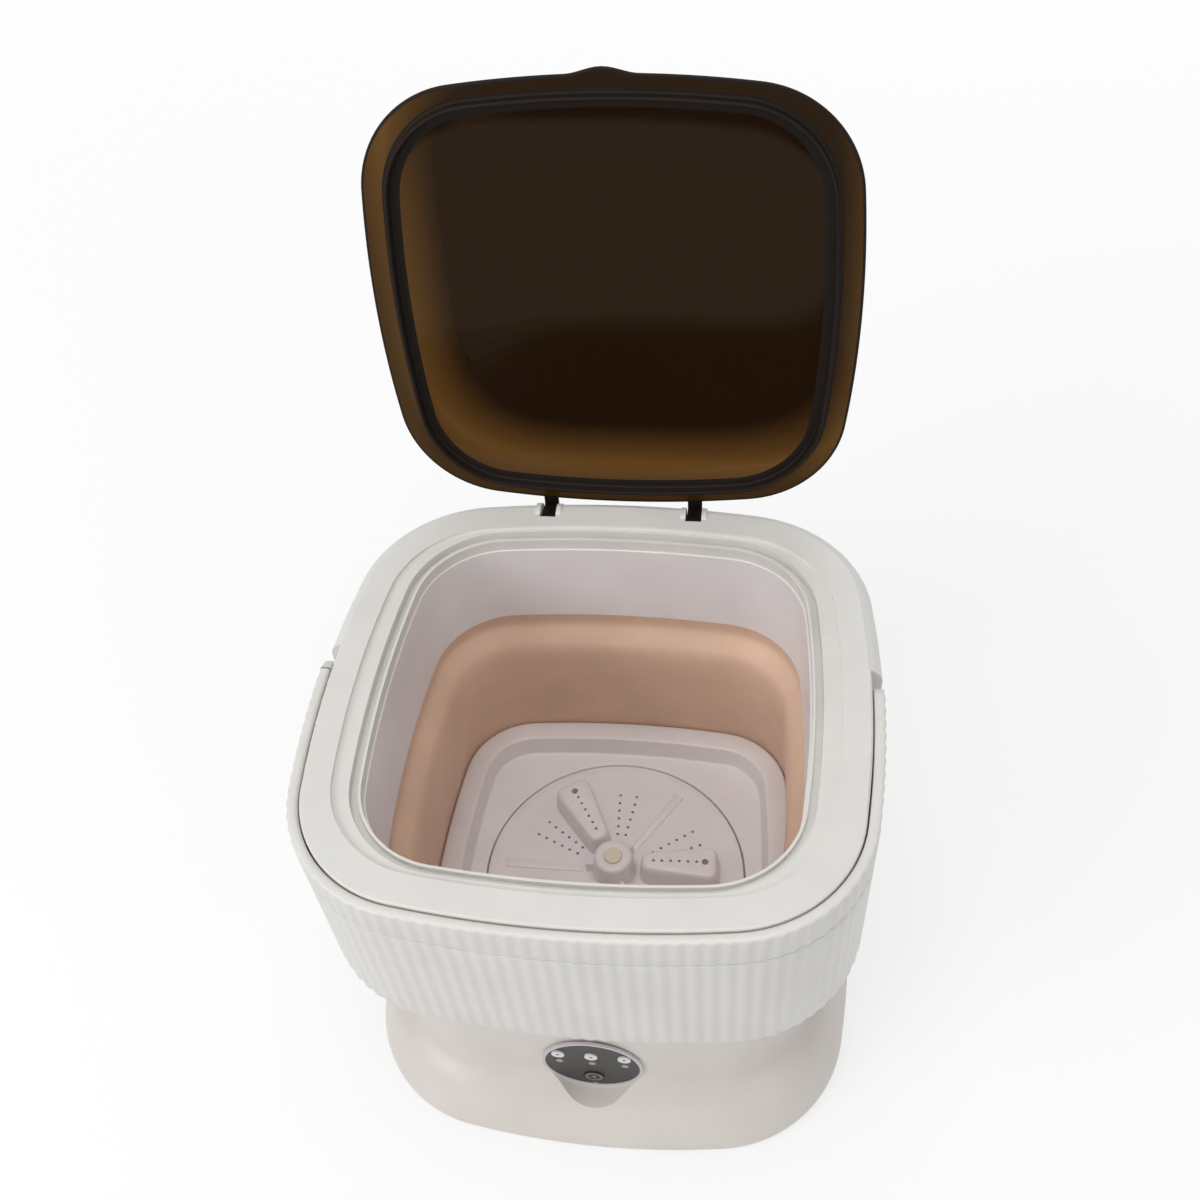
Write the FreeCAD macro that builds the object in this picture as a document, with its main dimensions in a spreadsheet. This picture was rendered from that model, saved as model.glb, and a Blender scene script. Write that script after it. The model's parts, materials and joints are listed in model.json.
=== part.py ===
"""Foldable washing machine, modelled standing open on its feet, in millimetres.

X runs to the right, the control panel faces -Y and Z is up. The origin is on the floor
under the middle of the tub.
"""
import FreeCAD
import Part
import Sketcher
import math
import os

Vector = FreeCAD.Vector

SIZES = {
    # Upper housing outline, seen from above
    "upper_width": 312,
    "upper_depth": 299,
    "upper_side_radius": 610,
    "upper_corner_radius": 78,
    # Tub opening outline
    "opening_width": 236,
    "opening_depth": 232,
    "opening_side_radius": 650,
    "opening_corner_radius": 51,
    # Lid seat outline on the rim
    "seat_width": 267,
    "seat_depth": 251,
    "seat_side_radius": 600,
    "seat_corner_radius": 60,
    # Lid outline
    "lid_width": 272,
    "lid_depth": 259,
    "lid_side_radius": 640,
    "lid_corner_radius": 62,
    # Base outline at its widest, near the floor
    "base_width": 312.4,
    "base_depth": 305.6,
    "base_side_radius": 540,
    "base_corner_radius": 85,
    # Heights, from the floor up
    "foot_height": 2.5,
    "base_lift": 1.5,
    "base_overtop": 11,
    "tub_flange_drop": 9.5,
    "tub_depth": 14,
    "wall_stretch": 112,
    "collar_height": 59.5,
    "rim_thickness": 11.5,
    "handle_height": 22.5,
    "handle_rest_gap": 0.5,
    "band_height": 89,
    # Walls
    "shell_wall": 3,
    "band_wall": 3.5,
    "skirt_wall": 6,
    "flange_thickness": 2.5,
    "collar_wall": 2.5,
    "soft_wall": 2.2,
    "tub_wall": 3.5,
    "tub_wall_inset": 4,
    "tub_step_inset": 18.6,
    "tub_floor_inset": 22,
    "wall_foot_reach": 3.2,
    "soft_lip": 2.4,
    "collar_lip": 12.5,
    "collar_top_lip": 16.5,
    "clamp_thickness": 4,
    "ledge_thickness": 5,
    "boss_radius": 4,
    "rim_inner_wall": 8,
    "rim_round": 10,
    "edge_round": 1.2,
    "tub_round": 2.5,
    "cover_inset": 4.4,
    # Ribs of the band and handle
    "rib_count": 130,
    "rib_depth": 0.8,
    # Lid and hinge
    "lid_gap": 0.4,
    "lid_wall": 2.4,
    "lid_rise": 5.5,
    "lid_rib_height": 6,
    "lid_rib_width": 2.2,
    "lid_open_angle": 97,
    "hinge_spread": 90,
    "hinge_inset": 11.5,
    "hinge_drop": 9,
    "hinge_pin_radius": 2,
    "lug_width": 9,
    "lug_side_gap": 0.4,
    "ear_width": 3,
    "ear_rise": 1.2,
    "lug_room_front": 6.6,
    "lug_room_below": 7,
    "knuckle_radius": 5.2,
    "tab_radius": 18,
    "tab_reach": 3,
    "seat_depth_down": 2,
    "lip_drop": 2,
    "lip_width": 1.5,
    "groove_depth": 5.5,
    "groove_side_gap": 0.4,
    "groove_swing_room": 1.6,
    # Handle
    "handle_thickness": 6,
    "handle_side_gap": 0.8,
    "handle_pivot_y": 4,
    "handle_notch_y": 22,
    "handle_pin_radius": 3,
    "handle_pin_reach": 4.4,
    # Drive
    "pulsator_inset": 31.5,
    "pulsator_gap": 1,
    "pulsator_thickness": 3,
    "pulsator_lift": 2,
    "hub_radius": 13.5,
    "hub_height": 21.5,
    "vane_height": 17,
    "vane_length": 50,
    "shaft_radius": 4,
    "bearing_radius": 11,
    "bearing_width": 7,
    "bearing_boss_radius": 15,
    "bearing_boss_length": 32,
    "seal_height": 4,
    "running_gap": 0.05,
    "driven_radius": 45,
    "motor_pulley_radius": 9,
    "pulley_width": 7,
    "belt_thickness": 2,
    "belt_width": 4.6,
    "motor_distance": 66,
    "motor_radius": 21,
    "motor_length": 36,
    "motor_headroom": 2,
    "pulley_lift": 10.5,
    "bracket_gap": 2,
    # Control panel
    "panel_radius": 30.5,
    "panel_margin": 2.5,
    "panel_recess": 28.4,
    "panel_plate": 3,
    "bezel_width": 2,
    "key_radius": 3.9,
    "key_pitch": 19.8,
    "key_rise": 13,
    "window_rise": 2,
    "window_radius": 2.1,
    "power_key_radius": 6,
    "power_key_drop": 16,
    "key_travel": 0.6,
    "key_stand": 0.9,
    # Drain and power inlet
    "drain_radius": 7,
    "drain_margin": 3.08,
    "drain_height": 46,
    "drain_flange_inset": 40,
    "drain_tail_inset": 26,
    "drain_tail_length": 12,
    "inlet_offset": 62,
    "inlet_height": 27,
    "drain_wall": 2,
    "inlet_radius": 5.5,
    "inlet_length": 19,
    "inlet_bore": 2.8,
    "inlet_contact": 1.05,
    # Screws, with their distance from the outline that they follow
    "screw_radius": 1.5,
    "small_screw_radius": 1.1,
    "board_screw_radius": 1,
    "band_screw_inset": 10.2,
    "collar_screw_offset": 13,
    "clamp_screw_offset": 8.8,
    "wall_screw_offset": 1.2,
    "cover_screw_inset": 11,
    "screw_head_radius": 2.9,
    "screw_head_height": 2,
}

doc = FreeCAD.newDocument("FoldableWasher")
sheet = doc.addObject("Spreadsheet::Sheet", "Sizes")
nodes = {}


class Size:
    """A length with the expression that gives it from the sheet."""

    def __init__(self, value, text):
        self.value = float(value)
        self.text = text

    def __add__(self, other):
        other = as_size(other)
        return Size(self.value + other.value, f"({self.text} + {other.text})")

    def __sub__(self, other):
        other = as_size(other)
        return Size(self.value - other.value, f"({self.text} - {other.text})")

    def __mul__(self, other):
        other = as_size(other)
        return Size(self.value * other.value, f"({self.text} * {other.text})")

    def __truediv__(self, other):
        other = as_size(other)
        return Size(self.value / other.value, f"({self.text} / {other.text})")

    def __radd__(self, other):
        return as_size(other) + self

    def __rsub__(self, other):
        return as_size(other) - self

    def __rmul__(self, other):
        return as_size(other) * self

    def __neg__(self):
        return as_size(0) - self


def as_size(number):
    return number if isinstance(number, Size) else Size(number, f"({number})")


def fill_sheet():
    for row, (name, value) in enumerate(SIZES.items(), start=1):
        sheet.set(f"A{row}", name)
        sheet.set(f"B{row}", str(value))
        sheet.setAlias(f"B{row}", name)
    doc.recompute()


def size(name):
    return Size(sheet.get(name), f"Sizes.{name}")


fill_sheet()


class Outline:
    """A rounded square of four wide side arcs and four tangent corner arcs."""

    def __init__(self, half_width, half_depth, side, corner):
        self.half_width = half_width
        self.half_depth = half_depth
        self.side = side
        self.corner = corner

    def inset(self, distance):
        return Outline(self.half_width - distance, self.half_depth - distance,
                       self.side - distance, self.corner - distance)

    def arcs(self):
        """Centre, radius, start angle and end angle of the eight arcs, from the right side on."""
        a, b = self.half_width.value, self.half_depth.value
        side, corner = self.side.value, self.corner.value
        right = Vector(a - side, 0, 0)
        back = Vector(0, b - side, 0)
        across = back - right
        normal = Vector(-across.y, across.x, 0).normalize()
        reach = math.sqrt((side - corner) ** 2 - across.Length ** 2 / 4)
        middle = (right + back) * 0.5
        centre = max((middle + normal * reach, middle - normal * reach), key=lambda p: p.x + p.y)
        low = math.atan2(centre.y, centre.x - right.x)
        high = math.atan2(centre.y - back.y, centre.x)
        half = math.pi
        return [(right, side, -low, low),
                (centre, corner, low, high),
                (back, side, high, half - high),
                (Vector(-centre.x, centre.y, 0), corner, half - high, half - low),
                (-right, side, half - low, half + low),
                (-centre, corner, half + low, half + high),
                (-back, side, half + high, 2 * half - high),
                (Vector(centre.x, -centre.y, 0), corner, 2 * half - high, 2 * half - low)]

    def place(self, share):
        """Point and outward normal at a share of the way round, from the middle of the right side."""
        arcs = self.arcs()
        lengths = [radius * (end - start) for _, radius, start, end in arcs]
        travel = (share % 1) * sum(lengths) + lengths[0] / 2
        for (centre, radius, start, _), length in zip(arcs + arcs[:1], lengths + lengths[:1]):
            if travel <= length:
                angle = start + travel / radius
                normal = Vector(math.cos(angle), math.sin(angle), 0)
                return centre + normal * radius, normal
            travel -= length


def outline(name):
    return Outline(size(f"{name}_width") / 2, size(f"{name}_depth") / 2,
                   size(f"{name}_side_radius"), size(f"{name}_corner_radius"))


UPPER = outline("upper")
OPENING = outline("opening")
SEAT = outline("seat")
LID = outline("lid")
BASE = outline("base")

# Levels that several pieces share
FLANGE = size("flange_thickness")
COVER_BOTTOM = size("foot_height")
COVER_TOP = COVER_BOTTOM + FLANGE
PULLEY_BOTTOM = COVER_BOTTOM + size("pulley_lift")
BRACKET_BOTTOM = PULLEY_BOTTOM + size("pulley_width") + size("bracket_gap")
MOTOR_BOTTOM = BRACKET_BOTTOM + FLANGE
WELL_UNDERSIDE = MOTOR_BOTTOM + size("motor_length") + size("motor_headroom")
WELL_FLOOR = WELL_UNDERSIDE + size("tub_wall")
TUB_FLOOR = WELL_FLOOR + size("pulsator_lift") + size("pulsator_thickness")
TUB_RIM = TUB_FLOOR + size("tub_depth")
TUB_FLANGE_BOTTOM = TUB_RIM - size("tub_flange_drop")
BASE_TOP = TUB_RIM + size("base_overtop")
COLLAR_BOTTOM = TUB_RIM + size("wall_stretch")
RIM_BOTTOM = COLLAR_BOTTOM + size("collar_height")
RIM_TOP = RIM_BOTTOM + size("rim_thickness")
PARTING = RIM_TOP - size("handle_height") - size("handle_rest_gap")
BAND_BOTTOM = PARTING - size("band_height")
PANEL_Z = BASE_TOP - size("panel_margin") - size("panel_radius")
PANEL_FACE = size("panel_recess") - BASE.half_depth
HINGE_Y = UPPER.half_depth - size("hinge_inset")
HINGE_Z = RIM_TOP - size("hinge_drop")
HANDLE_PIVOT_Z = RIM_TOP - size("handle_height") / 2
SCREW = size("screw_radius")
SMALL_SCREW = size("small_screw_radius")
GAP = size("running_gap")
PULSATOR = OPENING.half_depth - size("pulsator_inset")
DRAIN = (PULSATOR + size("pulsator_gap") + size("drain_radius") + size("drain_wall")
         + size("drain_margin")) * math.sqrt(0.5)


# Inset of the base's outer face from its widest outline, at heights above the floor
FLARE = ((2.0, 1.5), (0, 6.2), (2.4, 13), (5.6, 20), (9.2, 27), (13.4, 33), (19.0, 37.5), (24.0, 42),
         (26.4, 49), (27.2, 58), (27.7, 67), (28.2, 76), (28.9, 86))
BASE_TOP_INSET = 29.6

# Control board behind the panel
SWITCH_ROOM = 3.4
BOARD = 1.2
BOARD_WIDTH = 50
BOARD_HEIGHT = 47
BOARD_DROP = 26
BOARD_ROOM = 1
BOARD_SCREW = size("board_screw_radius")

# Vanes, ribs, drain holes and cap of the pulsator
VANE_ANGLE = 2.5
VANE_INNER = 17
RIB_START = 20
RIB_LENGTH = 52
RIB_WIDTH = 6
RIB_HEIGHT = 1.2
HOLE_PITCH = 6.2
HOLE_RADIUS = 1.0
ROW_SPREADS = (-34, -23, 23, 34)
CAP_RADIUS = 5.5
CAP_DEPTH = 7

# How far a cutting tool runs past the face that it opens, and a length longer than any piece that it crosses
PAST = 1
LONG = 60


def bind(target, name, value):
    value = as_size(value)
    target.setExpression(name, value.text)


def move(target, x, y, z):
    for axis, value in zip("xyz", (x, y, z)):
        value = as_size(value)
        setattr(target.Placement.Base, axis, value.value)
        bind(target, f"Placement.Base.{axis}", value)


AXIS_TURNS = {
    "X": FreeCAD.Rotation(Vector(0, 1, 0), 90),
    "Y": FreeCAD.Rotation(Vector(1, 0, 0), -90),
    "Z": FreeCAD.Rotation(),
}


def rod(radius, length, x, y, z, axis="Z"):
    """Cylinder from a point along an axis."""
    item = doc.addObject("Part::Cylinder", "rod")
    bind(item, "Radius", radius)
    bind(item, "Height", length)
    item.Placement.Rotation = AXIS_TURNS[axis]
    move(item, x, y, z)
    return item


def taper(start_radius, end_radius, length, x, y, z, axis="Z"):
    item = doc.addObject("Part::Cone", "taper")
    bind(item, "Radius1", start_radius)
    bind(item, "Radius2", end_radius)
    bind(item, "Height", length)
    item.Placement.Rotation = AXIS_TURNS[axis]
    move(item, x, y, z)
    return item


def block(width, depth, height, x, y, z):
    """Box from its lowest corner."""
    item = doc.addObject("Part::Box", "block")
    bind(item, "Length", width)
    bind(item, "Width", depth)
    bind(item, "Height", height)
    move(item, x, y, z)
    return item


def cut(base, *tools):
    for tool in tools:
        item = doc.addObject("Part::Cut", "cut")
        item.Base = base
        item.Tool = tool
        base = item
    return base


def fuse(*shapes):
    item = doc.addObject("Part::MultiFuse", "fuse")
    item.Shapes = list(shapes)
    item.Refine = True
    return item


def common(first, second):
    item = doc.addObject("Part::Common", "common")
    item.Base = first
    item.Tool = second
    return item


def group(*shapes):
    item = doc.addObject("Part::Compound", "group")
    item.Links = list(shapes)
    return item


def tube(outer, inner, length, x, y, z, axis="Z"):
    return cut(rod(outer, length, x, y, z, axis), rod(inner, length, x, y, z, axis))


def node(label, item):
    item.Label = label
    nodes[label] = item
    return item


def plane(body, role):
    return next(item for item in body.Origin.OriginFeatures if item.Role == role)


def level_sketch(body, level):
    """Sketch on the body's horizontal plane, lifted to a level."""
    sketch = body.newObject("Sketcher::SketchObject", "outline")
    sketch.AttachmentSupport = [(plane(body, "XY_Plane"), "")]
    sketch.MapMode = "FlatFace"
    sketch.AttachmentOffset = FreeCAD.Placement(Vector(0, 0, level.value), FreeCAD.Rotation())
    bind(sketch, "AttachmentOffset.Base.z", level)
    return sketch


def draw_outline(sketch, shape):
    """The eight arcs of an outline, held by tangency, centred on the axes and sized from the sheet."""
    first = sketch.GeometryCount
    for centre, radius, start, end in shape.arcs():
        circle = Part.Circle(centre, Vector(0, 0, 1), radius)
        sketch.addGeometry(Part.ArcOfCircle(circle, start, end), False)
    right, corner, back, left, front = first, first + 1, first + 2, first + 4, first + 6
    rules = [Sketcher.Constraint("Tangent", first + i, 2, first + (i + 1) % 8, 1) for i in range(8)]
    rules += [Sketcher.Constraint("PointOnObject", right, 3, -1),
              Sketcher.Constraint("PointOnObject", left, 3, -1),
              Sketcher.Constraint("PointOnObject", back, 3, -2),
              Sketcher.Constraint("PointOnObject", front, 3, -2)]
    rules += [Sketcher.Constraint("Equal", right, other) for other in (back, left, front)]
    rules += [Sketcher.Constraint("Equal", corner, corner + step) for step in (2, 4, 6)]
    sketch.addConstraint(rules)
    across, along = shape.side - shape.half_width, shape.side - shape.half_depth
    driven = [(("Radius", right), shape.side), (("Radius", corner), shape.corner),
              (("DistanceX", right, 3, -1, 1), across), (("DistanceX", -1, 1, left, 3), across),
              (("DistanceY", back, 3, -1, 1), along), (("DistanceY", -1, 1, front, 3), along)]
    for rule, value in driven:
        index = sketch.addConstraint(Sketcher.Constraint(*rule, value.value))
        bind(sketch, f"Constraints[{index}]", value)


def prism(outer, bottom, top, inner=None, round_top=None):
    """Upright solid or ring between two levels, with its outer top edge rounded if asked."""
    body = doc.addObject("PartDesign::Body", "prism")
    sketch = level_sketch(body, bottom)
    draw_outline(sketch, outer)
    if inner:
        draw_outline(sketch, inner)
    pad = body.newObject("PartDesign::Pad", "pad")
    pad.Profile = sketch
    bind(pad, "Length", top - bottom)
    if round_top:
        doc.recompute()
        fillet = body.newObject("PartDesign::Fillet", "fillet")
        fillet.Base = (pad, outer_edges_at(pad.Shape, outer, top.value))
        bind(fillet, "Radius", round_top)
    return body


def outer_edges_at(shape, outer, height):
    """Names of the edges at a height that lie on an outline."""
    names = []
    for index, edge in enumerate(shape.Edges, start=1):
        levels = [vertex.Z for vertex in edge.Vertexes]
        radius = edge.Curve.Radius if hasattr(edge.Curve, "Radius") else 0
        flat = all(abs(level - height) < 0.01 for level in levels)
        if flat and min(abs(radius - outer.side.value), abs(radius - outer.corner.value)) < 0.01:
            names.append(f"Edge{index}")
    return names


def flare(sections, ruled=False):
    """Solid through outlines at rising levels."""
    body = doc.addObject("PartDesign::Body", "flare")
    sketches = []
    for shape, level in sections:
        sketch = level_sketch(body, as_size(level))
        draw_outline(sketch, shape)
        sketches.append(sketch)
    loft = body.newObject("PartDesign::AdditiveLoft", "loft")
    loft.Profile = sketches[0]
    loft.Sections = sketches[1:]
    loft.Ruled = ruled
    return body


def fluted_prism(bottom, top):
    """Upright solid whose side is a row of rounded vertical ribs."""
    count = int(size("rib_count").value)
    depth = size("rib_depth").value
    valleys = []
    crests = []
    for index in range(count):
        crests.append(UPPER.place((index + 0.5) / count)[0])
        point, normal = UPPER.place(index / count)
        valleys.append(point - normal * depth)
    edges = [Part.Arc(valleys[i], crests[i], valleys[(i + 1) % count]).toShape() for i in range(count)]
    face = Part.Face(Part.Wire(edges))
    item = doc.addObject("Part::Feature", "fluted")
    item.Shape = face.extrude(Vector(0, 0, top.value - bottom.value))
    item.Placement.Base.z = bottom.value
    return item


def screw(x, y, head_z, tip_z, radius=SCREW):
    """Screw driven upwards from its head to its tip."""
    head = size("screw_head_height")
    shank = rod(radius, tip_z - head_z, x, y, head_z)
    return fuse(rod(size("screw_head_radius"), head, x, y, head_z - head), shank)


def screw_row(label, places, head_z, tip_z, radius=SCREW):
    """Node of like screws with their heads at one level."""
    screws = [screw(x, y, head_z, tip_z, radius) for x, y in places]
    return node(label, group(*screws))


def holes(places, bottom, top, radius):
    return group(*[rod(radius, top - bottom, x, y, bottom) for x, y in places])


def ring_places(shape, count, start=0.0):
    points = [shape.place(start + index / count)[0] for index in range(count)]
    return [(point.x, point.y) for point in points]


BAND_SCREWS = ring_places(UPPER.inset(size("band_screw_inset")), 8, 1 / 16)
COLLAR_SCREWS = ring_places(OPENING.inset(-size("collar_screw_offset")), 8, 1 / 16)
CLAMP_SCREWS = ring_places(OPENING.inset(-size("clamp_screw_offset")), 12, 1 / 24)
WALL_SCREWS = ring_places(OPENING.inset(-size("wall_screw_offset")), 10, 1 / 20)
COVER_SCREWS = ring_places(BASE.inset(size("cover_screw_inset")), 8, 1 / 16)
LID_RIB_OUTER = OPENING.inset(-size("lip_width") - size("groove_side_gap") - size("lid_rib_width"))
LID_RIB_INNER = OPENING.inset(-size("lip_width") - size("groove_side_gap"))
WALL_FOOT = OPENING.inset(-size("wall_foot_reach"))
SKIRT_OUTER = UPPER.inset(size("handle_thickness") + size("handle_side_gap"))
SKIRT_INNER = SKIRT_OUTER.inset(size("skirt_wall"))


def hinge_sides():
    """Middle of the left and right hinge."""
    return (-size("hinge_spread") / 2, size("hinge_spread") / 2)


def make_top_rim():
    rim_wall = size("tub_wall")
    back = common(prism(UPPER, PARTING, RIM_TOP, round_top=size("rim_round")),
                  block(UPPER.half_width * 2, UPPER.half_depth, RIM_TOP, -UPPER.half_width,
                        size("handle_notch_y"), 0))
    front = prism(SKIRT_OUTER, PARTING, RIM_TOP, round_top=size("edge_round"))
    boss_top = RIM_TOP - rim_wall
    body = cut(fuse(back, front),
               prism(SKIRT_INNER, PARTING - 1, RIM_BOTTOM),
               prism(SKIRT_INNER, RIM_BOTTOM - 1, boss_top, inner=OPENING.inset(-size("rim_inner_wall"))),
               prism(OPENING, PARTING - 1, RIM_TOP + 1),
               prism(SEAT, RIM_TOP - size("seat_depth_down"), RIM_TOP + 1))
    seat = RIM_TOP - size("seat_depth_down")
    groove_inner = OPENING.inset(-size("lip_width"))
    groove_outer = LID_RIB_OUTER.inset(-size("groove_swing_room"))
    body = cut(body,
               prism(groove_outer, seat - size("groove_depth"), seat + 1, inner=groove_inner),
               prism(groove_inner, seat - size("lip_drop"), seat + 1))
    bosses = [rod(size("boss_radius"), boss_top - RIM_BOTTOM + 1, x, y, RIM_BOTTOM) for x, y in COLLAR_SCREWS]
    ears = []
    slots = []
    slot_width = size("lug_width") + 2 * size("lug_side_gap")
    ear_radius = size("hinge_drop") + size("ear_rise")
    for middle in hinge_sides():
        span = slot_width + 2 * size("ear_width")
        ears.append(common(rod(ear_radius, span, middle - span / 2, HINGE_Y, HINGE_Z, "X"),
                           block(span, LONG, LONG, middle - span / 2, HINGE_Y - LONG / 2, RIM_BOTTOM)))
        slots.append(block(slot_width, LONG, LONG, middle - slot_width / 2, HINGE_Y - size("lug_room_front"),
                           HINGE_Z - size("lug_room_below")))
    body = cut(fuse(body, *bosses, *ears), *slots)
    pins = [rod(size("hinge_pin_radius"), LONG, middle - LONG / 2, HINGE_Y, HINGE_Z, "X")
            for middle in hinge_sides()]
    skirt_reach = UPPER.half_width - SKIRT_INNER.half_width + PAST
    handle_holes = [rod(size("handle_pin_radius"), skirt_reach, start, size("handle_pivot_y"),
                        HANDLE_PIVOT_Z, "X")
                    for start in (-UPPER.half_width, SKIRT_INNER.half_width - PAST)]
    body = cut(body, *pins, *handle_holes,
               holes(BAND_SCREWS, PARTING - 1, PARTING + 8, SCREW),
               holes(COLLAR_SCREWS, RIM_BOTTOM - 1, RIM_BOTTOM + 6, SCREW))
    node("top_rim", body)


def make_hinge_pins():
    length = size("lug_width") + 2 * size("lug_side_gap") + 2 * size("ear_width")
    pins = [rod(size("hinge_pin_radius"), length, middle - length / 2, HINGE_Y, HINGE_Z, "X")
            for middle in hinge_sides()]
    node("lid_hinge_pins", group(*pins))


def make_ribbed_band():
    inside = UPPER.inset(size("band_wall"))
    shell = cut(fluted_prism(BAND_BOTTOM, PARTING), prism(inside, BAND_BOTTOM - 1, PARTING + 1))
    flange = prism(UPPER.inset(size("band_wall") - 1), PARTING - FLANGE, PARTING,
                   inner=SKIRT_INNER.inset(1))
    body = cut(fuse(shell, flange), holes(BAND_SCREWS, PARTING - 10, PARTING + 1, SCREW))
    node("ribbed_band", body)
    screw_row("band_screws", BAND_SCREWS, PARTING - FLANGE, PARTING + 7)


def make_carry_handle():
    bottom = PARTING + size("handle_rest_gap")
    ring = cut(fluted_prism(bottom, RIM_TOP),
               prism(UPPER.inset(size("handle_thickness")), bottom - 1, RIM_TOP + 1))
    half = UPPER.half_width
    reach = fuse(block(half * 2 + 4, UPPER.half_depth * 2, size("handle_height"), -half - 2,
                       size("handle_pivot_y") - UPPER.half_depth * 2, bottom),
                 rod(size("handle_height") / 2, half * 2 + 4, -half - 2, size("handle_pivot_y"),
                     HANDLE_PIVOT_Z, "X"))
    sleeve = half - size("handle_thickness") + size("handle_pin_reach")
    socket = rod(size("handle_pin_radius") + GAP, sleeve * 2 + 0.4, -sleeve - 0.2, size("handle_pivot_y"),
                 HANDLE_PIVOT_Z, "X")
    node("carry_handle", cut(common(ring, reach), socket))
    head = 3
    inside = SKIRT_INNER.half_width - 0.2
    pins = []
    for side in (-1, 1):
        start = inside if side > 0 else -sleeve
        pin = rod(size("handle_pin_radius"), sleeve - inside, start, size("handle_pivot_y"),
                  HANDLE_PIVOT_Z, "X")
        head_start = inside - head if side > 0 else -inside
        cap = rod(size("handle_pin_radius") + 2, head, head_start, size("handle_pivot_y"),
                  HANDLE_PIVOT_Z, "X")
        pins.append(fuse(pin, cap))
    node("handle_pivot_pins", group(*pins))


def make_inner_collar():
    inner = OPENING.inset(1)
    wall = prism(OPENING.inset(1 - size("collar_wall")), COLLAR_BOTTOM, RIM_BOTTOM, inner=inner)
    top = prism(OPENING.inset(-size("collar_top_lip")), RIM_BOTTOM - FLANGE, RIM_BOTTOM, inner=inner)
    bottom = prism(OPENING.inset(-size("collar_lip")), COLLAR_BOTTOM, COLLAR_BOTTOM + FLANGE, inner=inner)
    bosses = [rod(3.5, 8, x, y, COLLAR_BOTTOM + FLANGE - 0.5) for x, y in CLAMP_SCREWS]
    body = cut(fuse(wall, top, bottom, *bosses),
               holes(COLLAR_SCREWS, RIM_BOTTOM - 5, RIM_BOTTOM + 1, SCREW),
               holes(CLAMP_SCREWS, COLLAR_BOTTOM - 1, COLLAR_BOTTOM + 7, SCREW))
    node("inner_collar", body)
    screw_row("collar_screws", COLLAR_SCREWS, RIM_BOTTOM - FLANGE, RIM_BOTTOM + 5.5)


def make_upper_clamp():
    top = COLLAR_BOTTOM - FLANGE
    bottom = top - size("clamp_thickness")
    ring = prism(OPENING.inset(-12), bottom, top, inner=OPENING.inset(-5.6))
    sunk = bottom + size("screw_head_height")
    body = cut(ring, holes(CLAMP_SCREWS, bottom - 1, top + 1, SCREW),
               holes(CLAMP_SCREWS, bottom - 1, sunk, size("screw_head_radius")))
    node("upper_clamp_ring", body)
    screw_row("clamp_screws", CLAMP_SCREWS, sunk, COLLAR_BOTTOM + 6.5)


def make_folding_wall():
    low = TUB_FLANGE_BOTTOM + FLANGE
    rim = TUB_RIM
    stretch = size("wall_stretch")
    seat_inset = size("tub_wall_inset") - 0.3
    profile = [(seat_inset, low), (seat_inset, rim + 1), (as_size(4.4), rim + stretch * 0.3),
               (as_size(5.0), rim + stretch * 0.58), (as_size(2.2), rim + stretch * 0.74),
               (as_size(-1.6), rim + stretch * 0.86), (-size("soft_lip"), COLLAR_BOTTOM - FLANGE)]
    wall = size("soft_wall")
    outer = flare([(OPENING.inset(inset - wall), level) for inset, level in profile])
    top = prism(OPENING.inset(-12), COLLAR_BOTTOM - FLANGE, COLLAR_BOTTOM)
    bottom = prism(WALL_FOOT, low, low + FLANGE)
    inner = flare([(OPENING.inset(inset), level) for inset, level in profile])
    mouth = prism(OPENING.inset(-size("soft_lip")), COLLAR_BOTTOM - FLANGE - 0.01, COLLAR_BOTTOM + 1)
    body = cut(fuse(outer, top, bottom), inner, mouth,
               holes(CLAMP_SCREWS, COLLAR_BOTTOM - 10, COLLAR_BOTTOM + 1, SCREW),
               holes(WALL_SCREWS, low - 1, low + FLANGE + 1, SMALL_SCREW))
    node("folding_wall", body)


def make_lower_clamp():
    low = TUB_FLANGE_BOTTOM + 2 * FLANGE
    ring = prism(WALL_FOOT, low, low + FLANGE + 0.5, inner=OPENING.inset(1))
    node("lower_clamp_ring", cut(ring, holes(WALL_SCREWS, low - 1, low + FLANGE, SMALL_SCREW)))
    ledge_bottom = TUB_FLANGE_BOTTOM - size("ledge_thickness")
    screw_row("wall_screws", WALL_SCREWS, ledge_bottom, low + FLANGE - 0.2, SMALL_SCREW)


def flare_sections(wall, bottom, top):
    sections = [(BASE.inset(wall + inset), as_size(height)) for inset, height in FLARE]
    sections[0] = (sections[0][0], bottom)
    return sections + [(BASE.inset(wall + BASE_TOP_INSET), top)]


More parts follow.
